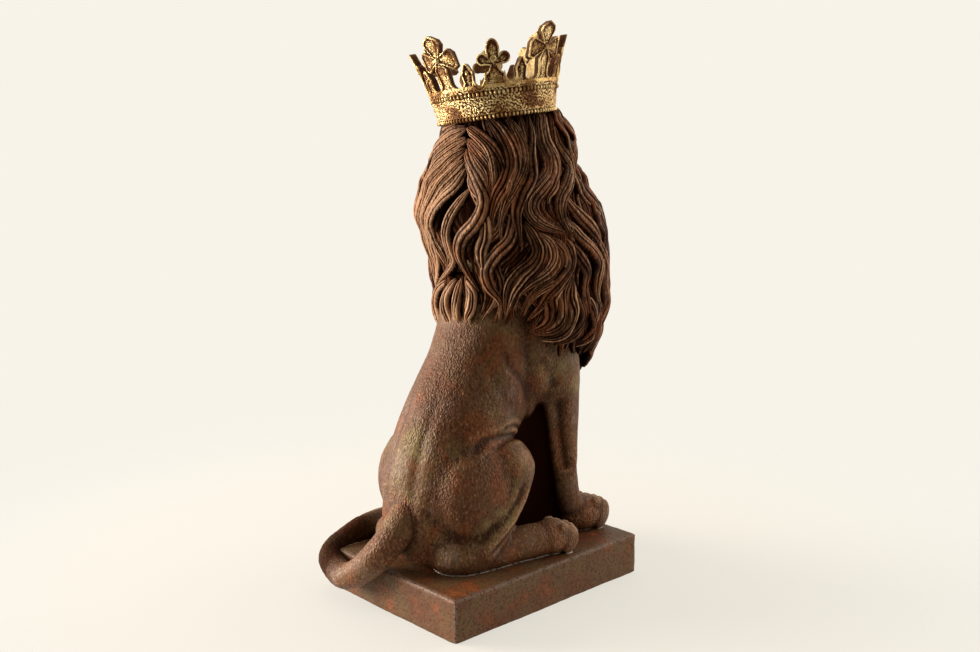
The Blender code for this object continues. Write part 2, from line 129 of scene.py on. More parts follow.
def add_rings(bm, rings, around=False):
    """Skins a list of rings of points; the last is joined to the first, or else both ends get a fan."""
    made = [[bm.verts.new(p) for p in ring] for ring in rings]
    steps = range(len(made[0]))
    for low, high in zip(made, made[1:] + made[:1] if around else made[1:]):
        for i in steps:
            bm.faces.new((low[i - 1], low[i], high[i], high[i - 1]))
    for ring in () if around else (made[0], made[-1]):
        middle = bm.verts.new(sum((v.co for v in ring), Vector()) / len(ring))
        for i in steps:
            bm.faces.new((middle, ring[i - 1], ring[i]))


def add_ellipsoid(bm, centre, radii, turn=(0.0, 0.0, 0.0)):
    """An ellipsoid in the figure's millimetres; turn is in degrees about X, Y and Z."""
    rotation = Matrix.Identity(4)
    for axis, angle in zip("XYZ", turn):
        rotation = Matrix.Rotation(math.radians(angle), 4, axis) @ rotation
    place = Matrix.Translation(figure(*centre)) @ rotation @ Matrix.Diagonal((*(r * MM for r in radii), 1.0))
    bmesh.ops.create_icosphere(bm, subdivisions=4, radius=1.0, matrix=place)


def add_limb(bm, points, steps=28, sides=32):
    """A tube through (x, y, z, half-width, half-depth) rows; half-width starts across X."""
    rings = []
    across = Vector((1.0, 0.0, 0.0))
    for k in range(steps + 1):
        t = k / steps
        x, y, z, wide, deep = smooth_curve(points, t)
        ahead = smooth_curve(points, min(t + 0.02, 1.0))
        behind = smooth_curve(points, max(t - 0.02, 0.0))
        along = Vector(ahead[:3]) - Vector(behind[:3])
        along.normalize()
        across = (across - along * across.dot(along)).normalized()
        other = along.cross(across)
        ring = []
        for i in range(sides):
            a = math.tau * i / sides
            ring.append(figure(x, y, z) + (across * wide * math.cos(a) + other * deep * math.sin(a)) * MM)
        rings.append(ring)
    add_rings(bm, rings)


def add_slab(bm, low, high):
    """A block between two corners in the figure's millimetres."""
    middle = figure(*((a + b) / 2 for a, b in zip(low, high)))
    size = [(b - a) * MM for a, b in zip(low, high)]
    bmesh.ops.create_cube(bm, size=1.0, matrix=Matrix.Translation(middle) @ Matrix.Diagonal((*size, 1.0)))


def add_ellipsoids(bm, centre, radii, turn=(0.0, 0.0, 0.0)):
    """An ellipsoid and its mirror image in the figure's middle plane."""
    for side in (-1, 1):
        place = (-side * centre[0], *centre[1:])
        add_ellipsoid(bm, place, radii, (turn[0], -side * turn[1], -side * turn[2]))


def add_limbs(bm, points, steps=28):
    """A limb and its mirror image in the figure's middle plane."""
    for side in (-1, 1):
        add_limb(bm, [(side * x, *rest) for x, *rest in points], steps)


def in_scene(name, data):
    obj = bpy.data.objects.new(name, data)
    bpy.context.scene.collection.objects.link(obj)
    return obj


def object_of(name, bm):
    mesh = bpy.data.meshes.new(name)
    bmesh.ops.recalc_face_normals(bm, faces=bm.faces)
    bm.to_mesh(mesh)
    bm.free()
    return in_scene(name, mesh)


def apply_modifiers(obj):
    bpy.context.view_layer.update()
    graph = bpy.context.evaluated_depsgraph_get()
    mesh = bpy.data.meshes.new_from_object(obj.evaluated_get(graph))
    obj.modifiers.clear()
    obj.data = mesh


def press_together(obj, voxel, smoothing):
    """Makes one skin of overlapping shapes, and smooths the creases between them in some rounds."""
    remesh = obj.modifiers.new("press_together", "REMESH")
    remesh.mode = "VOXEL"
    remesh.voxel_size = voxel
    soften = obj.modifiers.new("soften", "SMOOTH")
    soften.iterations = smoothing
    apply_modifiers(obj)


def reduce(obj, share):
    """Joins triangles where that changes the shape least, until a share of them is left."""
    decimate = obj.modifiers.new("reduce", "DECIMATE")
    decimate.ratio = share
    apply_modifiers(obj)


def melt(obj):
    """Takes an object back into a mesh that more shapes can be added to."""
    bm = bmesh.new()
    bm.from_mesh(obj.data)
    bpy.data.objects.remove(obj)
    return bm


def shade_smooth(obj):
    obj.data.polygons.foreach_set("use_smooth", [True] * len(obj.data.polygons))


# Work on the points of a finished skin.


def read(mesh, name):
    """The vertices' places, "co", or their normals, "normal", as rows of three numbers."""
    values = np.empty(len(mesh.vertices) * 3, np.float32)
    mesh.vertices.foreach_get(name, values)
    return values.reshape(-1, 3).astype(float)


def write_points(mesh, points):
    mesh.vertices.foreach_set("co", points.astype(np.float32).ravel())
    mesh.update()


def push(mesh, distances):
    """Moves each vertex along its normal by its own distance."""
    write_points(mesh, read(mesh, "co") + read(mesh, "normal") * distances[:, None])


def store_value(mesh, name, values):
    attribute = mesh.attributes.get(name) or mesh.attributes.new(name, "FLOAT", "POINT")
    attribute.data.foreach_set("value", np.asarray(values, np.float32))


def spread(mesh, values, rounds):
    """Averages values, one row for each vertex, with their neighbours' a number of times."""
    ends = np.empty(len(mesh.edges) * 2, np.int32)
    mesh.edges.foreach_get("vertices", ends)
    a, b = ends.reshape(-1, 2).T
    count = len(mesh.vertices)
    share = 0.5 / np.maximum(np.bincount(a, minlength=count) + np.bincount(b, minlength=count), 1)
    for _ in range(rounds):
        sums = [
            np.bincount(a, column[b], count) + np.bincount(b, column[a], count) for column in values.T
        ]
        values = 0.5 * values + np.stack(sums, 1) * share[:, None]
    return values


def store_ridges(obj, rounds, height):
    """Stores at each vertex how far it stands out from its surroundings: 0 in a groove, 1 on a ridge."""
    mesh = obj.data
    points = read(mesh, "co")
    apart = points - spread(mesh, points, rounds)
    stands_out = np.einsum("ij,ij->i", apart, read(mesh, "normal"))
    store_value(mesh, "ridge", np.clip(0.5 + stands_out / (2 * height), 0.0, 1.0))


def ramp(values, start, end):
    """0 at start and 1 at end, straight between them and level beyond."""
    return np.clip((values - start) / (end - start), 0, 1)


def distance_to_line(points, line):
    """Each point's distance from a line of points, and how far along the line the nearest place is."""
    nearest = np.full(len(points), np.inf)
    along = np.zeros(len(points))
    last = len(line) - 1
    for k in range(last):
        step = line[k + 1] - line[k]
        t = np.clip((points - line[k]) @ step / max(step @ step, 1e-12), 0, 1)
        apart = np.linalg.norm(points - line[k] - t[:, None] * step, axis=1)
        closer = apart < nearest
        nearest[closer] = apart[closer]
        along[closer] = (k + t[closer]) / last
    return nearest, along


LIP_AT, LIP_WIDTH = 2.1, 1.1  # of the lip beside a groove, in shares of the groove's width


def carve(obj, features):
    """Presses grooves into a skin along lines that are laid on it.

    Each feature is (points, width, depth, lip) in the figure's millimetres: lip is how far the skin beside
    the groove rises, as a share of the depth. A negative depth raises a ridge.
    """
    mesh = obj.data
    points = read(mesh, "co")
    tree = BVHTree.FromPolygons([v.co[:] for v in mesh.vertices], [p.vertices[:] for p in mesh.polygons])
    moved = np.zeros(len(points))
    for rows, width, depth, lip in features:
        steps = 8 * len(rows)
        line = [tree.find_nearest(figure(*smooth_curve(rows, k / steps)))[0] for k in range(steps + 1)]
        apart, along = distance_to_line(points, np.array(line))
        apart = apart / (width * MM)
        fade = np.clip(np.minimum(along, 1 - along) * 6 + 0.15, 0, 1)
        shape = np.exp(-(apart**2)) - lip * np.exp(-(((apart - LIP_AT) / LIP_WIDTH) ** 2))
        moved -= shape * depth * MM * fade
    push(mesh, moved)


def both_sides(features):
    """Features for the lion's right side, and their mirror images."""
    made = list(features)
    for rows, *rest in features:
        made.append(([(-x, y, z) for x, y, z in rows], *rest))
    return made


LAYER_SHIFT = 17.3  # sets one layer of noise apart from the next


def roughen(obj, layers, keep=1.0):
    """Moves the skin in and out by noise; each layer is (amount, size across, size up and down) in mm.

    keep is the share of the noise that each vertex gets.
    """
    points = read(obj.data, "co")
    moved = np.zeros(len(points))
    for number, (amount, across, upright) in enumerate(layers):
        at = points / MM / (across, across, upright) + LAYER_SHIFT * (number + 1)
        moved += amount * MM * np.array([noise.noise(p) for p in at.tolist()])
    push(obj.data, moved * keep)


# The lion's masses, as in the part; those off the middle plane are for its right side.

TRUNK = (
    (0, 58, 14, 60, 60),
    (0, 62, 50, 64, 62),
    (0, 55, 92, 64, 63),
    (0, 35, 140, 61, 62),
    (0, 8, 190, 57, 58),
    (0, -12, 240, 57, 58),
    (0, -28, 300, 60, 62),
)
FORELEG = (
    (-42, -40, 270, 27, 36),
    (-45, -50, 232, 26, 36),
    (-48, -62, 190, 22, 30),
    (-49, -71, 148, 17, 22),
    (-48, -76, 108, 14, 17),
    (-48, -79, 70, 12.5, 14.5),
    (-48, -84, 40, 14, 14),
    (-49, -96, 18, 19, 15),
)
SHIN = (
    (-66, 6, 108, 13, 16),
    (-70, 22, 78, 14, 17),
    (-70, 46, 44, 14, 17),
    (-66, 68, 18, 15, 15),
)
HIND_FOOT = (
    (-60, 78, 14, 14, 15),
    (-65, 46, 14, 16, 15),
    (-70, 8, 17, 18, 18),
    (-74, -20, 16, 21, 17),
)
TAIL = (
    (-3, 88, 74, 23, 23),
    (-6, 116, 52, 19, 19),
    (0, 140, 25, 16.5, 16.5),
    (20, 151, 1, 15, 15),
    (48, 152, -15, 14, 14),
    (76, 146, -15, 14, 14),
    (94, 137, -8, 13, 13.5),
    (98, 114, 2, 13, 14),
    (94, 86, 10, 12, 16),
    (92, 52, 12, 11, 16),
    (90, 20, 11, 14, 16),
    (90, -6, 10, 11, 13),
    (92, -30, 8, 4, 5),
)
# Centre of the paw, then its turn from -Y towards -X in degrees, length, width and height.
FORE_PAW = ((-50, -104, 19), 2, 54, 44, 40)
HIND_PAW = ((-76, -26, 17), 8, 52, 42, 36)
WEB_HALF_WIDTH = 38
TAIL_PAINTED_SHADE = 0.8  # how much painted shade darkens the tail's curl
TOE_CLEFT = (1.5, 2.0, 0.1)  # width, depth and lip
TOE_SPREAD = 5  # degrees between one toe's heading and the next
# of the body's triangles, to stay under 200,000
BODY_SHARE = 0.68  # share of the body's triangles that is kept, which leaves fewer than 200,000

# Points along each crease, then its width, depth and lip, for the right side.
BODY_CREASES = (
    ([(-59, 73, 124), (-60, 56, 134), (-61, 33, 136), (-56, 9, 131), (-46, -17, 119)], 4.4, 2.2, 0.4),
    ([(-62, 29, 143), (-55, 8, 142), (-46, -13, 131)], 2.6, 1.3, 0.5),
    ([(-63, 50, 124), (-62, 32, 126), (-58, 12, 121)], 3.0, 0.9, 0.4),
    ([(-83, 19, 89), (-83, 28, 73), (-83, 45, 56), (-79, 59, 47), (-72, 77, 31)], 4.8, 2.7, 0.25),
    ([(-83, 6, 76), (-83, 15, 62), (-82, 30, 46), (-79, 47, 35), (-74, 66, 22)], 3.0, 1.5, 0.3),
    ([(-63, -52, 163), (-57, -58, 132), (-56, -66, 98), (-57, -72, 76)], 6.5, 4.6, 0.25),
    ([(-62, -86, 168), (-60, -90, 130), (-58, -90, 96), (-56, -90, 66)], 3.5, 1.2, 0.2),
    ([(-18, 76, 186), (-19, 98, 145), (-19, 108, 120), (-20, 115, 90), (-20, 119, 60)], 6.0, 1.2, 0.2),
    ([(-54, 25, 229), (-56, 12, 205), (-55, -8, 181), (-50, -20, 151), (-46, -22, 129)], 5.5, 1.7, 0.2),
    ([(-50, 34, 205), (-55, 30, 185), (-56, 18, 165), (-52, 4, 150)], 7.0, 0.9, 0.2),
    ([(-66, -20, 212), (-68, -34, 192), (-66, -44, 172)], 5.5, 1.3, 0.3),
    ([(-30, 112, 70), (-44, 100, 52), (-58, 88, 36), (-64, 84, 20)], 7.0, 1.6, 0.1),
)


def toe_heading(turn, k):
    return Matrix.Rotation(math.radians(-turn - k * TOE_SPREAD), 3, "Z")


def add_toes(bm, centre, turn, length, width, height):
    """A paw: a pad, and four toes side by side, each with a knuckle, a tip and a claw."""
    middle = Vector(centre)
    toe_gap = width / 4
    add_ellipsoid(bm, middle, (width * 0.5, length * 0.52, height * 0.5), (0, 0, -turn))
    for k in (-1.5, -0.5, 0.5, 1.5):
        heading = toe_heading(turn, k)
        ahead = length * (0.36 if abs(k) < 1 else 0.26)
        toe_turn = (14, 0, -turn - k * TOE_SPREAD)
        tip = middle + heading @ Vector((k * toe_gap, -ahead, -height * 0.06))
        add_ellipsoid(bm, tip, (toe_gap * 0.6, length * 0.25, height * 0.42), toe_turn)
        knuckle = middle + heading @ Vector((k * toe_gap * 0.94, -ahead * 0.42, height * 0.17))
        add_ellipsoid(bm, knuckle, (toe_gap * 0.5, length * 0.17, height * 0.3), toe_turn)
        claw = middle + heading @ Vector((k * toe_gap, -ahead - length * 0.2, -height * 0.16))
        add_ellipsoid(bm, claw, (1.9, 5.5, 3.2), (30, 0, -turn - k * TOE_SPREAD))


def toe_lines(centre, turn, length, width, height):
    """The clefts between a paw's toes."""
    middle = Vector(centre)
    lines = []
    for k in (-1, 0, 1):
        heading = toe_heading(turn, k)
        rows = []
        for ahead, up in ((0.05, 0.44), (0.25, 0.36), (0.42, 0.2), (0.54, -0.12), (0.55, -0.4)):
            rows.append(tuple(middle + heading @ Vector((k * width / 4, -length * ahead, height * up))))
        lines.append((rows, *TOE_CLEFT))
    return lines


def make_body():
    bm = bmesh.new()
    add_limb(bm, TRUNK, steps=40, sides=48)
    add_ellipsoid(bm, (0, -14, 172), (52, 52, 62), (24, 0, 0))
    add_ellipsoid(bm, (0, -56, 236), (58, 46, 66))
    add_slab(bm, (-WEB_HALF_WIDTH, -80, -10), (WEB_HALF_WIDTH, 0, 190))
    add_ellipsoids(bm, (-44, 48, 76), (37, 56, 60), (-14, 0, 0))
    add_ellipsoids(bm, (-57, 20, 98), (26, 31, 34), (-30, 0, 0))
    add_ellipsoids(bm, (-42, 72, 18), (34, 38, 26))
    add_ellipsoids(bm, (-38, -34, 220), (30, 34, 66), (-8, 0, 0))
    add_limbs(bm, SHIN)
    add_limbs(bm, FORELEG)
    add_limbs(bm, HIND_FOOT)
    clay = object_of("clay", bm)
    press_together(clay, BODY_CLAY, 18)
    bm = melt(clay)
    creases = list(BODY_CREASES)
    for (x, y, z), *rest in (FORE_PAW, HIND_PAW):
        turn, length, width, height = rest
        for side in (-1, 1):
            add_toes(bm, (-side * x, y, z), -side * turn, length, width, height)
        creases += toe_lines((x, y, z), *rest)
    add_limb(bm, TAIL, steps=80, sides=32)
    body = object_of("lion_body", bm)
    press_together(body, BODY_SKIN, 3)
    carve(body, both_sides(creases))
    back = ramp(read(body.data, "co")[:, 1] / MM, -20, 50)
    roughen(body, ((1.0, 30, 40), (0.25, 7, 11), (0.34, 2.6, 4)), 0.35 + 0.65 * back)
    reduce(body, BODY_SHARE)
    store_ridges(body, 8, 0.0007)
    x, y, z = (read(body.data, "co") - figure(0, 0, 0)).T / MM
    # Painted shade: the recessed web between the legs, and the tail's curl, are marked here to be painted
    # dark.
    between_legs = ramp(np.abs(x), WEB_HALF_WIDTH + 8, WEB_HALF_WIDTH + 3)
    between_legs *= ramp(y, -84, -78) * ramp(y, 4, -4) * ramp(z, 178, 148)
    curl = ramp(x, 50, 75) * ramp(y, 70, 95) * (z < 40)
    store_value(body.data, "painted_shade", np.maximum(between_legs, curl * TAIL_PAINTED_SHADE))
    shade_smooth(body)
    return body


# The head, facing -Y.

NOSE = ((0, -96, 432, 14, 9), (0, -114, 411, 12, 9), (0, -128, 395, 13, 9), (0, -137, 381, 15, 9))
UPPER_LID = (
    (-12, -106, 407, 2.0, 2.0),
    (-17, -110, 413.5, 2.4, 2.4),
    (-24, -109.5, 417, 2.6, 2.6),
    (-31, -103, 416, 2.4, 2.4),
    (-35, -97, 413, 1.6, 1.6),
)
LOWER_LID = (
    (-12, -106.5, 406, 1.6, 1.6),
    (-18, -110, 405, 2.0, 2.0),
    (-25, -108, 406, 2.0, 2.0),
    (-32, -101, 410, 1.6, 1.6),
)
# Points along each line of the face, then its width, depth and lip, for the right side.
FACE_LINES = (
    ([(0, -147, 373), (0, -146, 366), (0, -141, 360)], 1.6, 2.6, 0.2),
    ([(-1, -142, 360), (-9, -143, 356), (-18, -138, 354), (-26, -126, 356), (-32, -110, 362)],
     1.7, 3.4, 0.3),
    ([(-5, -148, 378), (-8, -147, 377), (-11, -144, 379)], 2.4, 3.4, 0.1),
    ([(-14, -143, 384), (-15, -138, 376), (-13, -142, 370)], 1.8, 1.4, 0.1),
    ([(-4, -100, 436), (-5, -108, 425), (-7, -112, 417)], 2.6, 1.0, 0.4),
    ([(-13, -104, 402), (-14, -116, 394), (-17, -126, 386)], 3.0, 0.7, 0.3),
    ([(-12, -98, 440), (-24, -98, 437), (-36, -88, 432)], 3.4, 0.8, 0.3),
    ([(-36, -96, 406), (-42, -88, 396), (-44, -84, 382)], 3.4, 0.7, 0.3),
    ([(-10, -128, 346), (-16, -118, 342), (-22, -104, 340)], 2.2, 1.8, 0.2),
    ([(-23, -112, 411), (-23.5, -112, 412)], 2.0, 1.4, 0.0),
    ([(-56, -75, 435), (-55, -75, 428), (-54, -74, 420)], 4.0, 4.0, 0.2),
)
# Pits of the whiskers: each row's height, its first pit's Y and X, and the gap between pits.
WHISKER_ROWS = ((373, -131, 8, 5), (368, -139, 7, 6), (363, -141, 9, 5))
WHISKER_PIT = (0.9, 0.9, 0.3)  # width, depth and lip


def make_head():
    bm = bmesh.new()
    add_ellipsoid(bm, (0, -54, 404), (50, 52, 54))
    add_ellipsoid(bm, (0, -82, 418), (38, 24, 38))
    add_limb(bm, NOSE, steps=16, sides=28)
    add_ellipsoid(bm, (0, -139, 379), (13, 8, 8))
    add_ellipsoid(bm, (0, -112, 372), (30, 24, 20))
    add_ellipsoid(bm, (0, -121, 349), (16, 15, 11))
    add_ellipsoid(bm, (0, -98, 352), (29, 30, 17))
    add_ellipsoids(bm, (-14, -129, 367), (17, 17, 14))
    add_ellipsoids(bm, (-33, -88, 388), (22, 22, 27))
    add_ellipsoids(bm, (-19, -93, 425), (16, 9, 8), (0, -12, 16))
    add_ellipsoids(bm, (-23, -103, 412), (8, 8, 7))
    add_ellipsoids(bm, (-54, -68, 428), (10, 7, 14), (0, -18, 24))
    head = object_of("lion_head", bm)
    press_together(head, HEAD_CLAY, 5)
    bm = melt(head)
    add_limbs(bm, UPPER_LID, 16)
    add_limbs(bm, LOWER_LID, 16)
    add_ellipsoids(bm, (-23, -104, 411), (7.6, 7.6, 7))
    head = object_of("lion_head", bm)
    press_together(head, HEAD_SKIN, 2)
    lines = both_sides(FACE_LINES)
    for height, y, first, gap in WHISKER_ROWS:
        for k in range(4):
            x = -(first + gap * k)
            dot = [(x, y + 2.2 * k, height), (x - 0.5, y + 2.2 * k, height)]
            lines += both_sides([(dot, *WHISKER_PIT)])
    carve(head, lines)
    roughen(head, ((0.8, 18, 26), (0.35, 5, 11)))
    store_ridges(head, 14, 0.0009)
    shade_smooth(head)
    return head


# The mane: distance from an upright axis, by height and by angle from the back.

MANE_ROWS = (
    (118, -70, 6, 8, 10, 12, 10),
    (134, -64, 36, 38, 42, 46, 46),
    (165, -57, 60, 60, 60, 62, 62),
    (205, -50, 76, 74, 78, 80, 80),
    (235, -45, 86, 82, 88, 93, 90),
    (265, -45, 89, 85, 92, 100, 91),
    (300, -45, 90, 89, 94, 99, 86),
    (335, -45, 95, 97, 94, 97, 78),
    (358, -43, 96, 102, 93, 94, 66),
    (385, -39, 89, 94, 85, 82, 60),
    (410, -35, 79, 81, 73, 70, 58),
    (435, -30, 66, 68, 66, 66, 60),
    (455, -24, 60, 61, 62, 59, 58),
    (470, -22, 48, 48, 48, 48, 48),
    (480, -22, 26, 26, 26, 26, 26),
)
MANE_TURNS = (0, 43, 90, 137, 180)
PARTING = 9
CROWN_LINE = 448
CORE_DEPTH = 14
SEAT_DEPTH = 9  # how far the core lies below the locks at the crown
WAVE_LENGTH = 78


def mane_surface(angle, height, out=0.0):
    """A point on the mane and the direction out of it; angle is in degrees from the back, rightwards."""
    axis_y, *radii = between(MANE_ROWS, height)
    turn = abs((angle + 180) % 360 - 180)
    (radius,) = between(tuple(zip(MANE_TURNS, radii)), turn)
    a = math.radians(angle)
    outward = Vector((-math.sin(a), math.cos(a), 0.0))
    return outward * (radius + out) + Vector((0.0, axis_y, height)), outward


def wave_crest(angle):
    """The height at which the locks near an angle swing furthest from the parting."""
    turn = abs((angle - PARTING + 180) % 360 - 180)
    return between(((0, 362), (24, 362), (42, 334), (180, 334)), turn)[0]


def mirrored(angle):
    """The same angle on the other side of the parting."""
    return PARTING - (angle - PARTING) * (180 + PARTING) / (180 - PARTING)


# Right of the parting: each lock's root angle and height, tip angle and height, swing, width and thickness.
LOCKS = (
    (30, 468, 30, 352, 11, 26, 10),
    (44, 468, 27, 300, 8, 24, 10),
    (60, 468, 28, 250, 9, 24, 11),
    (74, 468, 44, 322, 9, 22, 9),
    (89, 468, 74, 340, 14, 25, 11),
    (101, 466, 70, 300, 10, 20, 9),
    (114, 464, 84, 322, 11, 26, 11),
    (52, 372, 38, 256, 9, 28, 11),
    (66, 372, 50, 262, 8, 26, 11),
    (80, 368, 62, 262, 8, 26, 11),
    (94, 366, 82, 288, 8, 22, 10),
    (36, 366, 25, 246, 7, 22, 10),
    (126, 440, 100, 300, 9, 24, 10),
    (106, 366, 94, 236, 7, 24, 11),
    (118, 374, 108, 240, 7, 24, 11),
    (138, 420, 118, 290, 8, 26, 11),
    (132, 340, 122, 222, 6, 26, 11),
    (146, 404, 136, 252, 7, 26, 11),
    (158, 364, 150, 216, 6, 26, 11),
    (172, 342, 166, 186, 5, 26, 11),
    (88, 306, 60, 240, 3, 22, 11),
    (92, 304, 73, 226, 3, 22, 11),
    (96, 302, 86, 217, 3, 22, 11),
    (102, 300, 99, 214, 3, 22, 11),
    (113, 292, 112, 208, 4, 22, 11),
    (10, 302, 14, 238, 3, 18, 10),
    (12, 300, 22, 240, 3, 18, 10),
    (128, 286, 126, 202, 4, 24, 11),
    (142, 300, 136, 184, 4, 24, 11),
    (156, 290, 150, 168, 4, 24, 11),
    (170, 280, 165, 148, 4, 24, 11),
    (179, 300, 178, 134, 3, 24, 11),
)
# Short hair between the crown and the brow, which is finer than the part's.
FORELOCKS = (
    (120, 460, 118, 402, 3, 16, 6),
    (132, 460, 130, 410, 3, 16, 6),
    (143, 459, 137, 418, 3, 16, 6),
    (153, 458, 146, 424, 3, 16, 5),
    (163, 457, 156, 428, 3, 16, 5),
    (173, 456, 168, 430, 3, 15, 5),
    (180, 456, 180, 436, 2, 15, 5),
)
FORELOCKS_OUT = 9
# The locks that the photograph shows: each one's width and thickness, then pixels from its root to its tip.
SEEN_LOCKS = (
    (18, 8, (455, 121), (440, 130), (429, 148), (421, 172), (415, 198), (416, 222), (421, 244), (427, 266),
     (431, 290)),
    (20, 8, (463, 128), (446, 138), (432, 156), (423, 178), (417, 204), (419, 230), (428, 252)),
    (20, 8, (463, 139), (447, 150), (434, 166), (426, 186), (420, 206), (423, 232), (431, 256)),
    (19, 8, (462, 150), (448, 162), (435, 178), (427, 196), (423, 216), (427, 240), (436, 262)),
    (16, 8, (462, 161), (450, 175), (438, 190), (430, 207), (427, 226), (432, 246), (440, 264)),
    (12, 7, (429, 226), (431, 244), (437, 260), (438, 276), (433, 292)),
    (11, 8, (462, 170), (455, 185), (443, 198), (434, 212), (431, 229), (436, 248), (443, 266)),
    (10, 9, (468, 190), (458, 203), (450, 217), (447, 234), (451, 250), (455, 262), (446, 276), (436, 287)),
    (13, 11, (464, 166), (474, 179), (482, 195), (483, 209), (476, 224), (464, 238), (460, 254), (465, 272),
     (477, 292)),
    (15, 9, (466, 128), (479, 137), (491, 150), (497, 165), (497, 182), (491, 198)),
    (14, 9, (466, 140), (478, 153), (487, 167), (491, 184), (487, 201)),
    (11, 9, (465, 152), (473, 166), (481, 180), (486, 196), (488, 212)),
    (17, 10, (486, 117), (500, 132), (510, 149), (513, 166), (507, 184), (496, 201), (490, 219), (491, 240)),
    (14, 10, (504, 114), (516, 132), (522, 151), (520, 170), (512, 190), (504, 209), (501, 229), (503, 247)),
    (12, 11, (513, 200), (513, 220), (509, 240), (497, 254), (488, 270), (490, 287), (499, 303), (497, 321)),
    (11, 8, (519, 113), (525, 138), (526, 158), (526, 178), (519, 196), (513, 212)),
    (12, 10, (526, 112), (531, 138), (530, 158), (531, 176), (523, 194), (516, 213), (517, 232), (520, 246)),
    (18, 11, (536, 110), (541, 138), (547, 156), (548, 172), (540, 186), (532, 199), (532, 211), (541, 222),
     (553, 229), (566, 234)),
    (13, 9, (541, 110), (546, 136), (552, 153), (555, 169), (552, 184), (548, 198), (551, 212)),
    (14, 9, (552, 108), (561, 132), (567, 150), (572, 166), (575, 180)),
    (14, 10, (547, 109), (556, 134), (562, 152), (568, 168), (566, 184), (559, 200), (560, 216), (570, 232),
     (575, 248)),
    (17, 10, (524, 222), (534, 236), (540, 250), (535, 264), (522, 276), (511, 290), (506, 306), (504, 320)),
    (16, 10, (538, 232), (549, 244), (551, 258), (543, 271), (530, 282), (519, 295), (514, 311)),
    (15, 9, (552, 238), (562, 250), (563, 264), (554, 278), (541, 288), (531, 300), (523, 316)),
    (13, 9, (565, 236), (571, 250), (570, 266), (560, 280), (549, 293), (541, 308), (530, 322)),
    (12, 8, (480, 205), (486, 220), (486, 236), (481, 252), (483, 270), (489, 288)),
    (13, 8, (566, 158), (572, 174), (580, 188), (590, 200), (598, 210), (602, 222)),
    (13, 9, (563, 188), (569, 204), (579, 216), (590, 226), (599, 240), (603, 256)),
    (13, 9, (573, 222), (580, 236), (590, 248), (597, 262), (596, 278), (597, 294), (602, 310)),
    (13, 9, (574, 244), (582, 258), (587, 272), (584, 287), (587, 303), (593, 320)),
    (11, 8, (590, 226), (599, 244), (604, 262), (603, 280), (604, 298), (604, 312)),
    (13, 10, (573, 274), (560, 286), (551, 298), (551, 311), (545, 323), (531, 331)),
    (13, 10, (573, 278), (564, 292), (562, 307), (559, 321), (549, 332), (536, 337)),
    (13, 10, (575, 280), (572, 296), (573, 312), (567, 327), (556, 337), (543, 342)),
    (12, 9, (580, 284), (582, 300), (583, 316), (577, 330), (567, 341), (556, 347)),
    (12, 9, (590, 296), (593, 311), (592, 326), (586, 338), (576, 348)),
    (11, 9, (600, 300), (602, 316), (600, 330), (593, 343), (586, 352)),
    (11, 9, (449, 278), (437, 291), (434, 307), (441, 324), (456, 337)),
    (11, 9, (453, 280), (446, 295), (446, 310), (452, 325), (461, 338)),
    (10, 9, (459, 280), (456, 295), (456, 309), (460, 321), (471, 331)),
    (9, 9, (465, 282), (473, 292), (472, 306), (468, 318), (474, 330)),
)
# By pixel across, how far those locks' strands are painted tan, as painted light on the left of the mane,
# which faces the lamp.
PAINTED_LIGHT_ACROSS = ((436, 0.9), (478, 0.25), (500, 0.1), (620, 0.1))
# By angle, how far the other locks sink below them.
SEEN_SIDE = ((-50, 0), (-30, 5), (105, 5), (124, 0))
HEM = ((0, 262), (60, 262), (90, 240), (115, 215), (140, 195), (160, 170), (180, 145))  # angle and height
LOCK_STEPS = 44
LOCK_SWING = 0.8  # how far the locks swing beside the part's plainer ones
THINNER = 0.62  # a bundle's thickness beside its lock's
STRANDS = 3  # ridges on each bundle of hair
GROOVE = 2.0  # how deep the grooves between them are
INNER_CORNERS, INNER_DEPTH = (0.6, 0.0, -0.6), 0.55  # of a bundle's inner side, in shares of its half sizes
SUNK = (4.0, -13.0)  # mm out from the mane's surface at which hair is in full light and in full shadow


def along_mane(place_at):
    """Points, outward directions and depths along a lock, from its angle, height and depth at t, 0 to 1."""
    rows = []
    for k in range(LOCK_STEPS + 1):
        angle, height, depth = place_at(k / LOCK_STEPS)
        rows.append((*mane_surface(angle, height, depth), depth))
    return [np.array(column) for column in zip(*rows)]


def lock_line(root, tip, swing, lift, shift):
    """A wavy lock's line on the mane.

    The lock drifts from the root's angle to the tip's and swings by up to swing degrees on the way, in step
    with its neighbours but for a shift in height. Its tip stands out by lift.
    """
    side = math.copysign(1.0, root[0] - PARTING)
    crest = wave_crest((root[0] + tip[0]) / 2) + shift

    def place_at(t):
        height = root[1] + (tip[1] - root[1]) * t
        angle = root[0] + (tip[0] - root[0]) * math.sin(0.5 * math.pi * t)
        grown = LOCK_SWING * min(1.0, t * 2.2)
        angle += side * swing * grown * math.cos(math.tau * (height - crest) / WAVE_LENGTH)
        return angle, height, -6 + lift * t**3 - 4 * (1 - t) ** 8 - between(SEEN_SIDE, angle)[0]

    return along_mane(place_at)


def seen_ray(across, down):
    """The direction from the camera through a pixel of the photograph."""
    reach = CAMERA_LENS / CAMERA_SENSOR * PHOTO_SIZE[0]
    side, up = (across - PHOTO_SIZE[0] / 2) / reach, (PHOTO_SIZE[1] / 2 - down) / reach
    return (FORWARD + RIGHT * side + RIGHT.cross(FORWARD) * up).normalized()


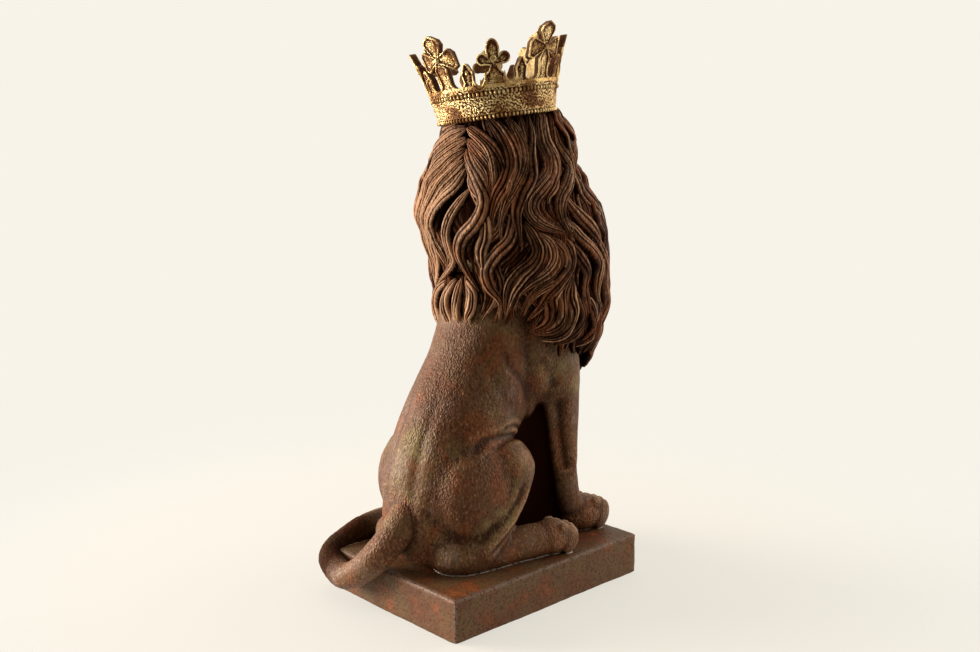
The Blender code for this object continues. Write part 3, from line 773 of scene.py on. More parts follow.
def seen_line(tree, pixels, lift):
    """The line of a lock that the photograph shows, laid on the mane's surface."""
    rows = []
    for pixel in pixels:
        ray = seen_ray(*pixel)
        place = tree.ray_cast(CAMERA_PLACE, ray)[0]
        if place is None:
            distance = (figure(0, -40, 300) - CAMERA_PLACE).dot(ray)
            place = tree.find_nearest(CAMERA_PLACE + ray * distance)[0]
        rows.append(((place - figure(0, 0, 0)) / MM)[:])

    def place_at(t):
        x, y, height = smooth_curve(rows, t)
        angle = math.degrees(math.atan2(-x, y - between(MANE_ROWS, height)[0]))
        return angle, height, -4 + lift * math.sin(math.pi * t) - 3 * (1 - t) ** 4

    return along_mane(place_at)


def unit(vectors):
    return vectors / np.maximum(np.linalg.norm(vectors, axis=1), 1e-9)[:, None]


class Hair:
    """Collects closed bundles of hair, with three values at each point for their paint."""

    def __init__(self):
        self.points, self.faces, self.count = [], [], 0
        self.values = {"ridge": [], "painted_shade": [], "painted_light": []}

    def add_bundle(self, line, offset, width, thickness, rise, chance, painted_light=0.0):
        """A bundle of strands that runs beside a lock's line and tapers to a point.

        offset, width and thickness are in mm, and so is rise, how far it stands out from the lock. The last
        argument is how far its strands are painted tan, as painted light.
        """
        places, outs, depths = line
        phase = chance.uniform(0, math.tau)
        t = np.linspace(0, 1, len(places))
        swell = np.sin(np.pi * (0.22 + 0.56 * t)) * np.minimum(1.0, 0.35 + t * 6)
        taper = np.minimum(1.0, (1.04 - t) * 2.6) ** 0.75
        half_width = 0.5 * width * swell * taper
        half_depth = thickness * (0.5 + 0.5 * swell) * np.minimum(1.0, (1.06 - t) * 4) ** 0.6
        along = unit(np.gradient(places, axis=0))
        normal = unit(outs - along * np.einsum("ij,ij->i", outs, along)[:, None])
        across = np.cross(along, normal)
        aside = offset * swell * taper + 1.8 * np.sin(math.tau * t * 1.6 + phase) * t
        lean = 0.35 * np.sin(math.tau * t * 1.3 + phase)[:, None]
        side = across * np.cos(lean) + normal * np.sin(lean)
        up = normal * np.cos(lean) - across * np.sin(lean)
        centre = places + across * aside[:, None] + normal * (rise * taper)[:, None]
        # Round the bundle: its strands from edge to edge, then the corners of its plain inner side.
        number = np.linspace(0, STRANDS, 4 * STRANDS + 1)
        heights = np.array([chance.uniform(0.5, 1.0) for _ in range(STRANDS)])
        strand = np.abs(np.sin(np.pi * number)) ** 0.8 * heights[np.minimum(number.astype(int), STRANDS - 1)]
        u = 2 * number / STRANDS - 1
        u = u + 0.12 * math.sin(phase) * np.sin(np.pi * u) + 0.07 * math.cos(phase) * np.sin(2 * np.pi * u)
        dome = np.sqrt(np.maximum(0.0, 1 - u * u)) ** 0.9
        outer = np.outer(half_depth, dome) + np.outer(GROOVE * taper * swell, strand - 0.5)
        inner = np.outer(-INNER_DEPTH * half_depth, np.ones(len(INNER_CORNERS)))
        wide = np.outer(half_width, (*u, *INNER_CORNERS))
        deep = np.concatenate((outer, inner), axis=1)
        ring = centre[:, None] + side[:, None] * wide[..., None] + up[:, None] * deep[..., None]
        self.points.append(ring.reshape(-1, 3))
        ridge = np.broadcast_to((*strand, *np.zeros(len(INNER_CORNERS))), deep.shape)
        self.values["ridge"].append(ridge.ravel())
        # Painted shade: hair that lies deeper than the mane's surface is marked to be painted darker.
        self.values["painted_shade"].append(ramp(depths[:, None] + rise + deep, *SUNK).ravel())
        self.values["painted_light"].append(np.full(deep.size, painted_light))
        index = self.count + np.arange(deep.size).reshape(deep.shape)
        following = np.roll(index, -1, axis=1)
        quads = np.stack((index[:-1], following[:-1], following[1:], index[1:]), axis=2)
        self.faces += quads.reshape(-1, 4).tolist()
        self.faces += [index[0][::-1].tolist(), index[-1].tolist()]
        self.count += deep.size

    def make(self, name):
        points = np.concatenate(self.points) * MM + np.array((0, 0, PLINTH_HEIGHT))
        mesh = bpy.data.meshes.new(name)
        mesh.from_pydata(points.tolist(), [], self.faces)
        bm = bmesh.new()
        bm.from_mesh(mesh)
        bpy.data.meshes.remove(mesh)
        obj = object_of(name, bm)
        for value, rows in self.values.items():
            store_value(obj.data, value, np.concatenate(rows))
        shade_smooth(obj)
        return obj


def add_lock(hair, root, tip, swing, width, thickness, out, chance):
    """A lock of a few bundles that run side by side; root and tip are (angle, height) pairs."""
    shift = chance.uniform(-4, 4)
    wide = width * chance.uniform(0.95, 1.1)
    bundles = 3 if width > 18 else 2
    for k in range(bundles):
        aside = (k - (bundles - 1) / 2) / bundles
        end = (tip[0] + chance.uniform(-2, 2), tip[1] + chance.uniform(-8, 8) + 8 * abs(aside))
        line = lock_line(root, end, swing, 6, shift + chance.uniform(-3, 3))
        rise = out + 1.5 - 5 * abs(aside) + chance.uniform(-1.5, 1.5)
        hair.add_bundle(line, aside * wide * 1.1, 1.65 * wide / bundles, thickness * THINNER, rise, chance)


def make_mane():
    """The mane's right side, its left side, and the locks that the photograph shows."""
    chance = random.Random(SEED)
    right, left = Hair(), Hair()
    for rows, out in ((LOCKS, 0), (FORELOCKS, FORELOCKS_OUT)):
        for root, top, tip, bottom, *size in rows:
            add_lock(right, (root, top), (tip, bottom), *size, out, chance)
            add_lock(left, (mirrored(root), top), (mirrored(tip), bottom), *size, out, chance)
    seen = Hair()
    surface = bmesh.new()
    add_rings(surface, mane_rings(lambda angle, height: 0.0, 60, 120))
    tree = BVHTree.FromBMesh(surface)
    surface.free()
    for width, thickness, *pixels in SEEN_LOCKS:
        bundles = 1 + (width > 13) + (width > 18)
        painted_light = between(PAINTED_LIGHT_ACROSS, pixels[len(pixels) // 2][0])[0]
        for k in range(bundles):
            aside = (k - (bundles - 1) / 2) / bundles
            rise = chance.uniform(-0.5, 1.0) - 2 * abs(aside)
            line = seen_line(tree, pixels, 3 + chance.uniform(-1, 1))
            size = (1.25 * width / bundles, thickness * THINNER)
            seen.add_bundle(line, aside * width, *size, rise, chance, painted_light)
    return right.make("mane_right"), left.make("mane_left"), seen.make("mane_seen")


def core_depth(angle, height):
    """How far the core lies below the mane's surface, grooved along the locks' waves."""
    inset = SEAT_DEPTH + (CORE_DEPTH - SEAT_DEPTH) * min(1.0, max(0.0, (CROWN_LINE - height) / 50))
    turn = abs((angle - PARTING + 180) % 360 - 180)
    swing = 8 * math.cos(math.tau * (height - wave_crest(angle)) / WAVE_LENGTH)
    strand = abs(math.sin(math.radians(turn - swing) * 24))
    below_hem = between(HEM, turn)[0] + 20 - height
    return 1.4 * strand - 1.2 - inset - 32 * min(1.0, max(0.0, below_hem / 25))


def mane_rings(out, steps, sides):
    """Rings of points round the mane from hem to crown; out gives each one's distance from its surface."""
    low, high = MANE_ROWS[0][0], MANE_ROWS[-1][0]
    rings = []
    for k in range(steps + 1):
        height = low + (high - low) * k / steps
        angles = [360 * i / sides for i in range(sides)]
        rings.append([figure(*mane_surface(angle, height, out(angle, height))[0]) for angle in angles])
    return rings


def make_mane_core():
    """What lies under the locks, grooved along the same waves."""
    bm = bmesh.new()
    add_rings(bm, mane_rings(core_depth, 130, 320))
    core = object_of("mane_core", bm)
    store_ridges(core, 4, 0.0005)
    # Painted shade: the whole core is marked to be painted dark, as the shade under the locks.
    store_value(core.data, "painted_shade", np.full(len(core.data.vertices), 0.66))
    shade_smooth(core)
    return core


# The plinth, and the thin pale seam where the figure is fixed to it.

SEAM_WIDTH = 1.0
SEAM_HEIGHT = 1.3
SEAM_ROOT = 0.0006  # how far it goes into the plinth's top
EDGE_MARGIN = 0.003  # between the seam and the plinth's edges


def make_seam(body):
    """A fillet along the line where the body meets the plinth's top."""
    bm = bmesh.new()
    bm.from_mesh(body.data)
    geom = bm.verts[:] + bm.edges[:] + bm.faces[:]
    level = figure(0, 0, SEAM_HEIGHT)
    cut = bmesh.ops.bisect_plane(bm, geom=geom, plane_co=level, plane_no=(0, 0, 1))["geom_cut"]
    bm.normal_update()
    limit_x, limit_y = PLINTH_WIDTH / 2 - EDGE_MARGIN, PLINTH_LENGTH / 2 - EDGE_MARGIN
    seam = bmesh.new()
    corners = {}
    for edge in (item for item in cut if isinstance(item, bmesh.types.BMEdge)):
        if any(abs(v.co.x) > limit_x or abs(v.co.y) > limit_y for v in edge.verts):
            continue
        for vertex in edge.verts:
            if vertex in corners:
                continue
            out = Vector((vertex.normal.x, vertex.normal.y, 0.0)).normalized() * SEAM_WIDTH * MM
            foot = Vector((vertex.co.x, vertex.co.y, PLINTH_HEIGHT - SEAM_ROOT))
            places = (vertex.co - out * 0.5, foot - out, foot + out)
            corners[vertex] = [seam.verts.new(place) for place in places]
        a, b = (corners[vertex] for vertex in edge.verts)
        for i in range(3):
            j = (i + 1) % 3
            seam.faces.new((a[i], a[j], b[j], b[i]))
    bm.free()
    obj = object_of("paw_seam", seam)
    shade_smooth(obj)
    return obj


EDGE_WEAR = 0.004  # how far in the plinth's worn edges reach
RUST_REACH = 0.075  # how far the rust on the plinth's top reaches from its near corner


def make_plinth():
    bm = bmesh.new()
    size = (PLINTH_WIDTH, PLINTH_LENGTH, PLINTH_HEIGHT)
    middle = Matrix.Translation((0, 0, PLINTH_HEIGHT / 2))
    bmesh.ops.create_cube(bm, size=1.0, matrix=middle @ Matrix.Diagonal((*size, 1.0)))
    plinth = object_of("plinth_block", bm)
    press_together(plinth, PLINTH_SKIN, 5)
    mesh = plinth.data
    points = read(mesh, "co")
    half = np.array((PLINTH_WIDTH / 2, PLINTH_LENGTH / 2))
    to_side = half - np.abs(points[:, :2])
    to_top = PLINTH_HEIGHT - points[:, 2]
    edge = np.minimum(np.hypot(to_side.min(axis=1), to_top), np.hypot(to_side[:, 0], to_side[:, 1]))
    wear = np.exp(-edge / EDGE_WEAR)
    lumps = np.array([noise.noise(p) for p in (points * 70).tolist()])
    push(mesh, -wear * (0.0006 + 0.0009 * np.clip(lumps + 0.2, 0, 1)))
    roughen(plinth, ((0.6, 45, 45), (0.25, 9, 7), (0.12, 4, 4)))
    points = read(mesh, "co")
    points[:, 2] = np.maximum(points[:, 2], 0.0)
    write_points(mesh, points)
    store_ridges(plinth, 10, 0.0005)
    store_value(mesh, "edge", wear)
    to_corner = np.hypot(points[:, 0] + PLINTH_WIDTH / 2, points[:, 1] - PLINTH_LENGTH / 2)
    on_top = points[:, 2] > PLINTH_HEIGHT - EDGE_MARGIN
    store_value(mesh, "rust", ramp(to_corner / RUST_REACH, 1.3, 0.3) * on_top)
    shade_smooth(plinth)
    return plinth


# The crown is laid out flat, as (way round, height, depth into the wall), then bent round its cone.


def crown_frame():
    """The middle of the crown's lower edge, tipped towards the lion's back and left."""
    turn = Matrix.Rotation(CROWN_TURN, 4, "Z")
    tip_back = Matrix.Rotation(-CROWN_TILT_BACK, 4, "X")
    tip_left = Matrix.Rotation(CROWN_TILT_LEFT, 4, "Y")
    return Matrix.Translation(figure(0, CROWN_SEAT_Y, FIGURE_HEIGHT)) @ tip_left @ tip_back @ turn


def crown_radius(height):
    """Outside radius of the wall at a height above its lower edge."""
    return CROWN_BASE_RADIUS + CROWN_FLARE * height + CROWN_CURL * height**2


def on_crown(centre_angle, around, depth, height):
    """A point of the crown's flat layout, bent round its cone."""
    angle = centre_angle + around / crown_radius(height)
    radius = crown_radius(height) - depth
    return Vector((radius * math.sin(angle), radius * math.cos(angle), height))


def mirror_outline(half):
    """Closes half an outline, listed from the bottom middle up its right side, with its mirror image."""
    return half + [(-around, height) for around, height in reversed(half) if around > 1e-6]


def arc(centre, radii, start, end, steps):
    """Points on an elliptical arc, in degrees from the way round towards up."""
    wide, high = radii
    angles = [math.radians(start + (end - start) * k / steps) for k in range(steps + 1)]
    return [(centre[0] + wide * math.cos(a), centre[1] + high * math.sin(a)) for a in angles]


def cross_outline(base, top):
    """A flared stem that carries a cross with four spreading arms."""
    middle = base + (top - base) * 0.55
    arm = CROSS_ARM
    neck, lobe = 0.0034, 0.0108
    half = [(0.0, base - ROOT_DEPTH), (0.0120, base - ROOT_DEPTH)]
    half += arc((0.0125, base + 0.0068), (0.0062, 0.0066), 268, 182, 7)
    half += [(0.0078, middle - 0.0095), (neck, middle - neck)]
    half += [(arm - 0.005, middle - lobe), (arm, middle - lobe * 0.75), (arm, middle + lobe * 0.55)]
    half += [(arm - 0.004, middle + lobe * 0.9), (neck, middle + neck)]
    half += [(lobe, top - 0.0095), (lobe * 0.85, top - 0.0045), (0.0, top)]
    return mirror_outline(half)


def trefoil_outline(base, top):
    """A flared stem that carries three rounded leaves."""
    middle = base + (top - base) * 0.56
    leaf, head_width, head_height = 0.0060, 0.0070, 0.0110
    half = [(0.0, base - ROOT_DEPTH), (0.0120, base - ROOT_DEPTH), (0.0112, base + 0.001)]
    half += [(0.0104, base + 0.006), (0.0098, base + 0.0095), (0.0076, base + 0.0110)]
    half += [(0.0050, middle - 0.0100), (0.0036, middle - 0.0065)]
    half += arc((0.0110, middle), (leaf, leaf), -110, 110, 14)
    half += arc((0.0, top - head_height), (head_width, head_height), -35, 90, 12)
    return mirror_outline(half)


def lozenge_outline(base, top):
    """A short post that ends in a lozenge."""
    middle = base + (top - base) * 0.55
    half = [(0.0, base - ROOT_DEPTH), (0.0080, base - ROOT_DEPTH)]
    half += arc((0.0100, base + 0.0055), (0.0052, 0.0055), 262, 200, 4)
    half += [(0.0064, middle), (0.0020, top - 0.001), (0.0, top)]
    return mirror_outline(half)


PLATE_EDGE = 0.0005  # how wide the eased edge of a plate is
PLATE_EASE = 0.0004  # how deep it is, and how wide the slope from a plate's rim to its face
SLICE = 0.0022  # between the cuts that let a plate bend
WIRE_PROUD = 0.0002  # how far a wire's middle stands out from the wall


def add_plate(bm, outline, centre_angle, rim, sunk):
    """A plate of the wall's thickness, with a raised rim round a sunk face, bent round the crown."""
    flat = bmesh.new()
    face = flat.faces.new([flat.verts.new((around, 0.0, height)) for around, height in outline])
    made = bmesh.ops.extrude_face_region(flat, geom=[face])["geom"]
    back = [item for item in made if isinstance(item, bmesh.types.BMFace)]
    for item in made:
        if isinstance(item, bmesh.types.BMVert):
            item.co.y = CROWN_WALL
    bmesh.ops.recalc_face_normals(flat, faces=flat.faces)
    front = [f for f in flat.faces if f not in back and len(f.verts) == len(outline)]
    for side, depth in ((front, 0.0), (back, CROWN_WALL)):
        inward = 1 if depth == 0.0 else -1
        inner = list(side)
        bmesh.ops.inset_region(flat, faces=inner, thickness=PLATE_EDGE, depth=0.0, use_even_offset=False)
        for vertex in {v for f in inner for v in f.verts}:
            vertex.co.y = depth - inward * PLATE_EASE
        if inward == 1:
            for wide in (rim, PLATE_EASE):
                bmesh.ops.inset_region(flat, faces=inner, thickness=wide, depth=0.0, use_even_offset=False)
            for vertex in {v for f in inner for v in f.verts}:
                vertex.co.y = depth + sunk
    for axis, reach, low in (((1, 0, 0), 0.026, -0.026), ((0, 0, 1), 0.05, 0.025)):
        for k in range(int((reach * 2) / SLICE) + 1):
            at = low + k * SLICE
            geom = flat.verts[:] + flat.edges[:] + flat.faces[:]
            bmesh.ops.bisect_plane(flat, geom=geom, plane_co=[a * at for a in axis], plane_no=axis)
    bmesh.ops.triangulate(flat, faces=flat.faces)
    for vertex in flat.verts:
        vertex.co = on_crown(centre_angle, *vertex.co)
    bmesh.ops.recalc_face_normals(flat, faces=flat.faces)
    mesh = bpy.data.meshes.new("plate")
    flat.to_mesh(mesh)
    flat.free()
    bm.from_mesh(mesh)
    bpy.data.meshes.remove(mesh)


def add_wire(bm, centre_angle, rows, thickness, sides=8):
    """A raised line on the crown through (way round, height) rows, proud of its wall."""
    steps = 6 * len(rows)
    curve = [smooth_curve(rows, k / steps) for k in range(steps + 1)]
    places = [on_crown(centre_angle, around, -WIRE_PROUD, height) for around, height in curve]
    rings = []
    for k, place in enumerate(places):
        along = (places[min(k + 1, steps)] - places[max(k - 1, 0)]).normalized()
        out = Vector((place.x, place.y, 0)).normalized()
        across = along.cross(out).normalized()
        out = across.cross(along)
        narrow = thickness * min(1.0, 0.45 + 2.5 * min(k, steps - k) / steps)
        ring = []
        for i in range(sides):
            a = math.tau * i / sides
            ring.append(place + across * narrow * math.cos(a) + out * narrow * math.sin(a))
        rings.append(ring)
    add_rings(bm, rings)


WALL_STEPS = 480  # round the crown's wall


def add_crown_wall(bm):
    """The ring that the fleurons stand on, with a stippled band between its two rows of beads."""
    foot, band = BEAD_RADIUS, BEAD_RADIUS + CROWN_BAND_HEIGHT
    collar = band + CROWN_COLLAR_HEIGHT
    profile = [(0.0, 0.0), (0.0, 0.0016), (0.0007, 0.0040)]
    profile += [(0.0, z) for z in np.linspace(2 * foot, band - BEAD_RADIUS, 20)]
    profile += [(0.0, z) for z in np.linspace(band + BEAD_RADIUS, collar, 6)]
    profile += [(CROWN_WALL, z) for z in np.linspace(collar, 0.0, 8)]
    rings = []
    for k in range(WALL_STEPS):
        a = math.tau * k / WALL_STEPS
        ring = []
        for depth, z in profile:
            radius = crown_radius(z) - depth
            if depth < CROWN_WALL and 2 * foot < z < collar - 0.0005:
                at = Vector((math.sin(a) * 62, math.cos(a) * 62, z * 1000))
                radius += 0.0006 * noise.noise(at * 0.5) + 0.0004 * noise.noise(at * 1.1)
            ring.append((radius * math.sin(a), radius * math.cos(a), z))
        rings.append(ring)
    add_rings(bm, rings, around=True)


def add_beads(bm, height, chance):
    """A row of upright oval beads with gaps between them."""
    for k in range(BEADS):
        a = math.tau * (k + 0.5) / BEADS
        radius = crown_radius(height)
        wide, deep, high = (BEAD_RADIUS * share * chance.uniform(0.92, 1.06) for share in (0.68, 0.95, 1.1))
        turn = Matrix.Rotation(-a, 4, "Z")
        place = Matrix.Translation((radius * math.sin(a), radius * math.cos(a), height))
        size = Matrix.Diagonal((wide, deep, high, 1.0))
        bmesh.ops.create_icosphere(bm, subdivisions=2, radius=1.0, matrix=place @ turn @ size)


def store_crown_depths(mesh):
    """Stores how deep each point lies in the wall, in mm, and how far it is in a gap between the beads."""
    points = read(mesh, "co")
    height = points[:, 2]
    depth = (crown_radius(height) - np.hypot(points[:, 0], points[:, 1])) / MM
    rows = [np.abs(height - row) for row in (BEAD_RADIUS, BEAD_RADIUS + CROWN_BAND_HEIGHT)]
    near = ramp(np.minimum(*rows) / BEAD_RADIUS, 1.6, 0.6)
    store_value(mesh, "depth", depth)
    store_value(mesh, "gap", near * ramp(depth, -1.0, -0.1) * (depth < 3))


# Each fleuron's rim, its boss or ring's place as a share of its height, and that boss or ring's radius.
CROSS_RIM, CROSS_BOSS_AT, CROSS_BOSS = 0.0011, 0.55, 0.0030
TREFOIL_RIM, TREFOIL_RING_AT, TREFOIL_RING = 0.0009, 0.56, 0.0024
LOZENGE_RIM, LOZENGE_BOSS_AT, LOZENGE_BOSS = 0.0009, 0.55, 0.0016
RING_WIRE = 0.0007
FACE_DEPTH = 0.0005  # how far a fleuron's face lies below its rim
# Scrolls beside each trefoil: way round and height above the collar, then the wire's thickness.
SCROLLS = (
    (((0.0098, 0.0112), (0.0108, 0.0035), (0.0160, -0.0022), (0.0215, 0.0035), (0.0224, 0.0100)), 0.0011),
    (((0.0080, 0.0060), (0.0098, -0.0010), (0.0160, -0.0052), (0.0215, -0.0010), (0.0236, 0.0040)), 0.0008),
)
SHARP_ANGLE = 38  # degrees, above which two faces of the crown meet in a sharp edge


def add_boss(bm, angle, height, radius, subdivisions):
    """A round knob on the crown's face."""
    place = Matrix.Translation(on_crown(angle, 0, 0.0, height)) @ Matrix.Scale(radius, 4)
    bmesh.ops.create_icosphere(bm, subdivisions=subdivisions, radius=1.0, matrix=place)


def make_crown():
    chance = random.Random(SEED)
    foot, band = BEAD_RADIUS, BEAD_RADIUS + CROWN_BAND_HEIGHT
    collar = band + CROWN_COLLAR_HEIGHT
    cross_top, trefoil_top, lozenge_top = (band + h for h in (CROSS_HEIGHT, TREFOIL_HEIGHT, LOZENGE_HEIGHT))
    bm = bmesh.new()
    add_crown_wall(bm)
    add_beads(bm, foot, chance)
    add_beads(bm, band, chance)
    step = math.tau / FLEURON_PAIRS
    for k in range(FLEURON_PAIRS):
        angle = k * step
        add_plate(bm, cross_outline(collar, cross_top), angle, CROSS_RIM, FACE_DEPTH)
        add_boss(bm, angle, collar + (cross_top - collar) * CROSS_BOSS_AT, CROSS_BOSS, 3)
        angle = (k + 0.5) * step
        add_plate(bm, trefoil_outline(collar, trefoil_top), angle, TREFOIL_RIM, FACE_DEPTH)
        middle = collar + (trefoil_top - collar) * TREFOIL_RING_AT
        add_wire(bm, angle, arc((0.0, middle), (TREFOIL_RING, TREFOIL_RING), 0, 360, 12), RING_WIRE)
        for side in (-1, 1):
            for rows, thickness in SCROLLS:
                add_wire(bm, angle, [(side * x, collar + z) for x, z in rows], thickness)
        for quarter in (0.25, 0.75):
            angle = (k + quarter) * step
            add_plate(bm, lozenge_outline(collar, lozenge_top), angle, LOZENGE_RIM, FACE_DEPTH)
            add_boss(bm, angle, collar + (lozenge_top - collar) * LOZENGE_BOSS_AT, LOZENGE_BOSS, 2)
    crown = object_of("crown_gold", bm)
    store_crown_depths(crown.data)
    crown.data.transform(crown_frame())
    store_ridges(crown, 3, 0.0003)
    shade_smooth(crown)
    crown.data.set_sharp_from_angle(angle=math.radians(SHARP_ANGLE))
    return crown


# Paint.

WARM_SHINE = (1.0, 0.70, 0.50)
# Dark wash in grooves and pits, and also the dark of the painted shade in gaps and hollows.
DARK_WASH_AND_SHADE = (0.010, 0.0020, 0.0006)
DEEP_BROWN = (0.032, 0.0088, 0.0034)
BROWN = (0.095, 0.034, 0.0135)
OLIVE = (0.110, 0.059, 0.023)
RUST = (0.150, 0.040, 0.012)
BRIGHT_RUST = (0.240, 0.064, 0.015)
TAN = (0.460, 0.250, 0.135)
OCHRE = (0.200, 0.150, 0.055)
LILAC = (0.150, 0.100, 0.078)
SEAM_GREY = (0.46, 0.39, 0.33)
GOLD = (0.82, 0.61, 0.28)
OLD_GOLD = (0.40, 0.19, 0.045)
CROWN_BROWN = (0.062, 0.014, 0.004)
PALE = (0.93, 0.895, 0.815)
FLOOR = (0.220, 0.205, 0.180)
FLOOR_GLOW = 0.66
CARD = (0.02, 0.018, 0.016)
EVEN = (1, 1, 1)


class Paint:
    """A material whose nodes are made and linked by short calls."""

    def __init__(self, name):
        self.material = bpy.data.materials.new(name)
        self.material.use_nodes = True
        self.nodes = self.material.node_tree.nodes
        self.shader = self.nodes["Principled BSDF"].inputs
        self.place = self.nodes.new("ShaderNodeTexCoord").outputs["Object"]

    def link(self, value, socket):
        if isinstance(value, bpy.types.NodeSocket):
            self.material.node_tree.links.new(value, socket)
        elif hasattr(value, "__len__") and len(value) == 3 and len(socket.default_value) == 4:
            socket.default_value = (*value, 1.0)
        else:
            socket.default_value = value

    def fill(self, node, output, inputs):
        """Sets or links a node's inputs, and gives one of its outputs."""
        for name, value in inputs.items():
            self.link(value, node.inputs[name])
        return node.outputs[output]

    def value(self, name):
        """A number stored on the mesh."""
        node = self.nodes.new("ShaderNodeAttribute")
        node.attribute_name = name
        return node.outputs["Fac"]

    def scaled(self, size, stretch):
        """Places on the object in steps of size metres, longer where stretch is above 1."""
        given = {"Vector": self.place, "Scale": [1 / (size * s) for s in stretch]}
        return self.fill(self.nodes.new("ShaderNodeMapping"), "Vector", given)

    def noise(self, size, stretch=EVEN, detail=3.0, rough=0.55):
        """Noise whose features are about size metres wide."""
        given = {"Vector": self.scaled(size, stretch), "Scale": 1.0, "Detail": detail, "Roughness": rough}
        return self.fill(self.nodes.new("ShaderNodeTexNoise"), "Fac", given)

    def pits(self, size, stretch=EVEN):
        """Distance to the nearest of many scattered points, for pits and flakes."""
        given = {"Vector": self.scaled(size, stretch), "Scale": 1.0}
        return self.fill(self.nodes.new("ShaderNodeTexVoronoi"), "Distance", given)

    def math(self, operation, a, b):
        node = self.nodes.new("ShaderNodeMath")
        node.operation = operation
        return self.fill(node, 0, {0: a, 1: b})

    def times(self, a, b):
        return self.math("MULTIPLY", a, b)

    def plus(self, a, b):
        return self.math("ADD", a, b)

    def step(self, value, low, high, to_low=0.0, to_high=1.0):
        """Eases from one number to another as value goes from low to high."""
        node = self.nodes.new("ShaderNodeMapRange")
        node.interpolation_type = "SMOOTHSTEP"
        given = {"Value": value, "From Min": low, "From Max": high, "To Min": to_low, "To Max": to_high}
        return self.fill(node, "Result", given)

    def mix(self, amount, a, b):
        node = self.nodes.new("ShaderNodeMix")
        node.data_type = "RGBA"
        return self.fill(node, 2, {0: amount, 6: a, 7: b})

    def coats(self, color, *coats):
        """Lays colours over a first one, each up to an amount as a value goes from low to high."""
        for over, value, low, high, amount in coats:
            color = self.mix(self.step(value, low, high, 0.0, amount), color, over)
        return color

    def bump(self, height, distance, strength):
        given = {"Strength": strength, "Distance": distance, "Height": height}
        return self.fill(self.nodes.new("ShaderNodeBump"), "Normal", given)

    def finish(self, color, roughness, normal, specular, metallic=0.0):
        given = {"Base Color": color, "Roughness": roughness, "Normal": normal, "Metallic": metallic}
        given.update({"Specular IOR Level": specular, "Specular Tint": WARM_SHINE})
        for name, value in given.items():
            self.link(value, self.shader[name])
        return self.material


def fur_paint():
    paint = Paint("rusty_fur")
    fur = paint.noise(0.0018, (1, 1, 1.7), 4.0, 0.6)
    pits = paint.pits(0.0021, (1, 1, 1.5))
    patches = paint.noise(0.050)
    spots = paint.noise(0.030, (1, 1, 1.4), 4.0, 0.6)
    smoothness = paint.noise(0.070, detail=1.0)
    ridge, painted_shade = paint.value("ridge"), paint.value("painted_shade")
    grain = paint.plus(paint.times(fur, 0.5), paint.times(ridge, 0.5))
    color = paint.coats(
        OLIVE,
        (BROWN, patches, 0.38, 0.60, 1.0),
        (RUST, spots, 0.50, 0.62, 0.75),
        (OCHRE, patches, 0.42, 0.34, 0.5),
        (LILAC, spots, 0.42, 0.30, 0.6),
        (DEEP_BROWN, grain, 0.51, 0.41, 0.85),
        (TAN, grain, 0.53, 0.76, 0.62),
        (DARK_WASH_AND_SHADE, ridge, 0.32, 0.02, 0.85),
    )
    # Painted shade: the marked gaps are mixed towards the dark colour.
    color = paint.mix(painted_shade, color, DARK_WASH_AND_SHADE)
    height = paint.plus(fur, paint.times(pits, 0.9))
    height = paint.times(height, paint.step(smoothness, 0.40, 0.58, 0.22, 1.0))
    roughness = paint.math("MAXIMUM", paint.step(fur, 0.3, 0.7, 0.58, 0.42), painted_shade)
    shine = paint.step(painted_shade, 0.0, 1.0, 0.24, 0.03)
    return paint.finish(color, roughness, paint.bump(height, 0.0013, 0.85), shine)


def mane_paint():
    paint = Paint("rusty_mane")
    ridge, painted_shade = paint.value("ridge"), paint.value("painted_shade")
    grain = paint.noise(0.0020, (1, 1, 5), 4.0, 0.6)
    patches = paint.noise(0.030)
    spots = paint.noise(0.012, (1, 1, 3))
    color = paint.coats(DEEP_BROWN, (BROWN, patches, 0.38, 0.60, 1.0), (RUST, patches, 0.46, 0.60, 0.8))
    worn = paint.plus(ridge, paint.times(paint.math("SUBTRACT", grain, 0.5), 0.9))
    # Painted light: the seen locks' strands are mixed towards tan on the side that faces the lamp.
    painted_light = paint.times(paint.value("painted_light"), paint.step(grain, 0.25, 0.65, 0.4, 0.8))
    color = paint.mix(painted_light, color, TAN)
    color = paint.coats(color, (DARK_WASH_AND_SHADE, worn, 0.60, 0.20, 1.0))
    crest = paint.times(paint.step(worn, 0.60, 0.94), paint.step(spots, 0.36, 0.60, 0.35, 1.0))
    color = paint.mix(crest, color, TAN)
    # Painted shade: hollows and sunk hair are mixed towards the dark colour.
    color = paint.coats(color, (DARK_WASH_AND_SHADE, painted_shade, 0.26, 0.75, 1.0))
    shine = paint.times(paint.step(worn, 0.2, 0.7, 0.02, 0.08), paint.step(painted_shade, 0.3, 0.7, 1.0, 0.1))
    roughness = paint.math("MAXIMUM", paint.step(grain, 0.3, 0.7, 0.58, 0.42), paint.step(painted_shade, 0.4, 0.8))
    return paint.finish(color, roughness, paint.bump(grain, 0.0011, 0.6), shine)


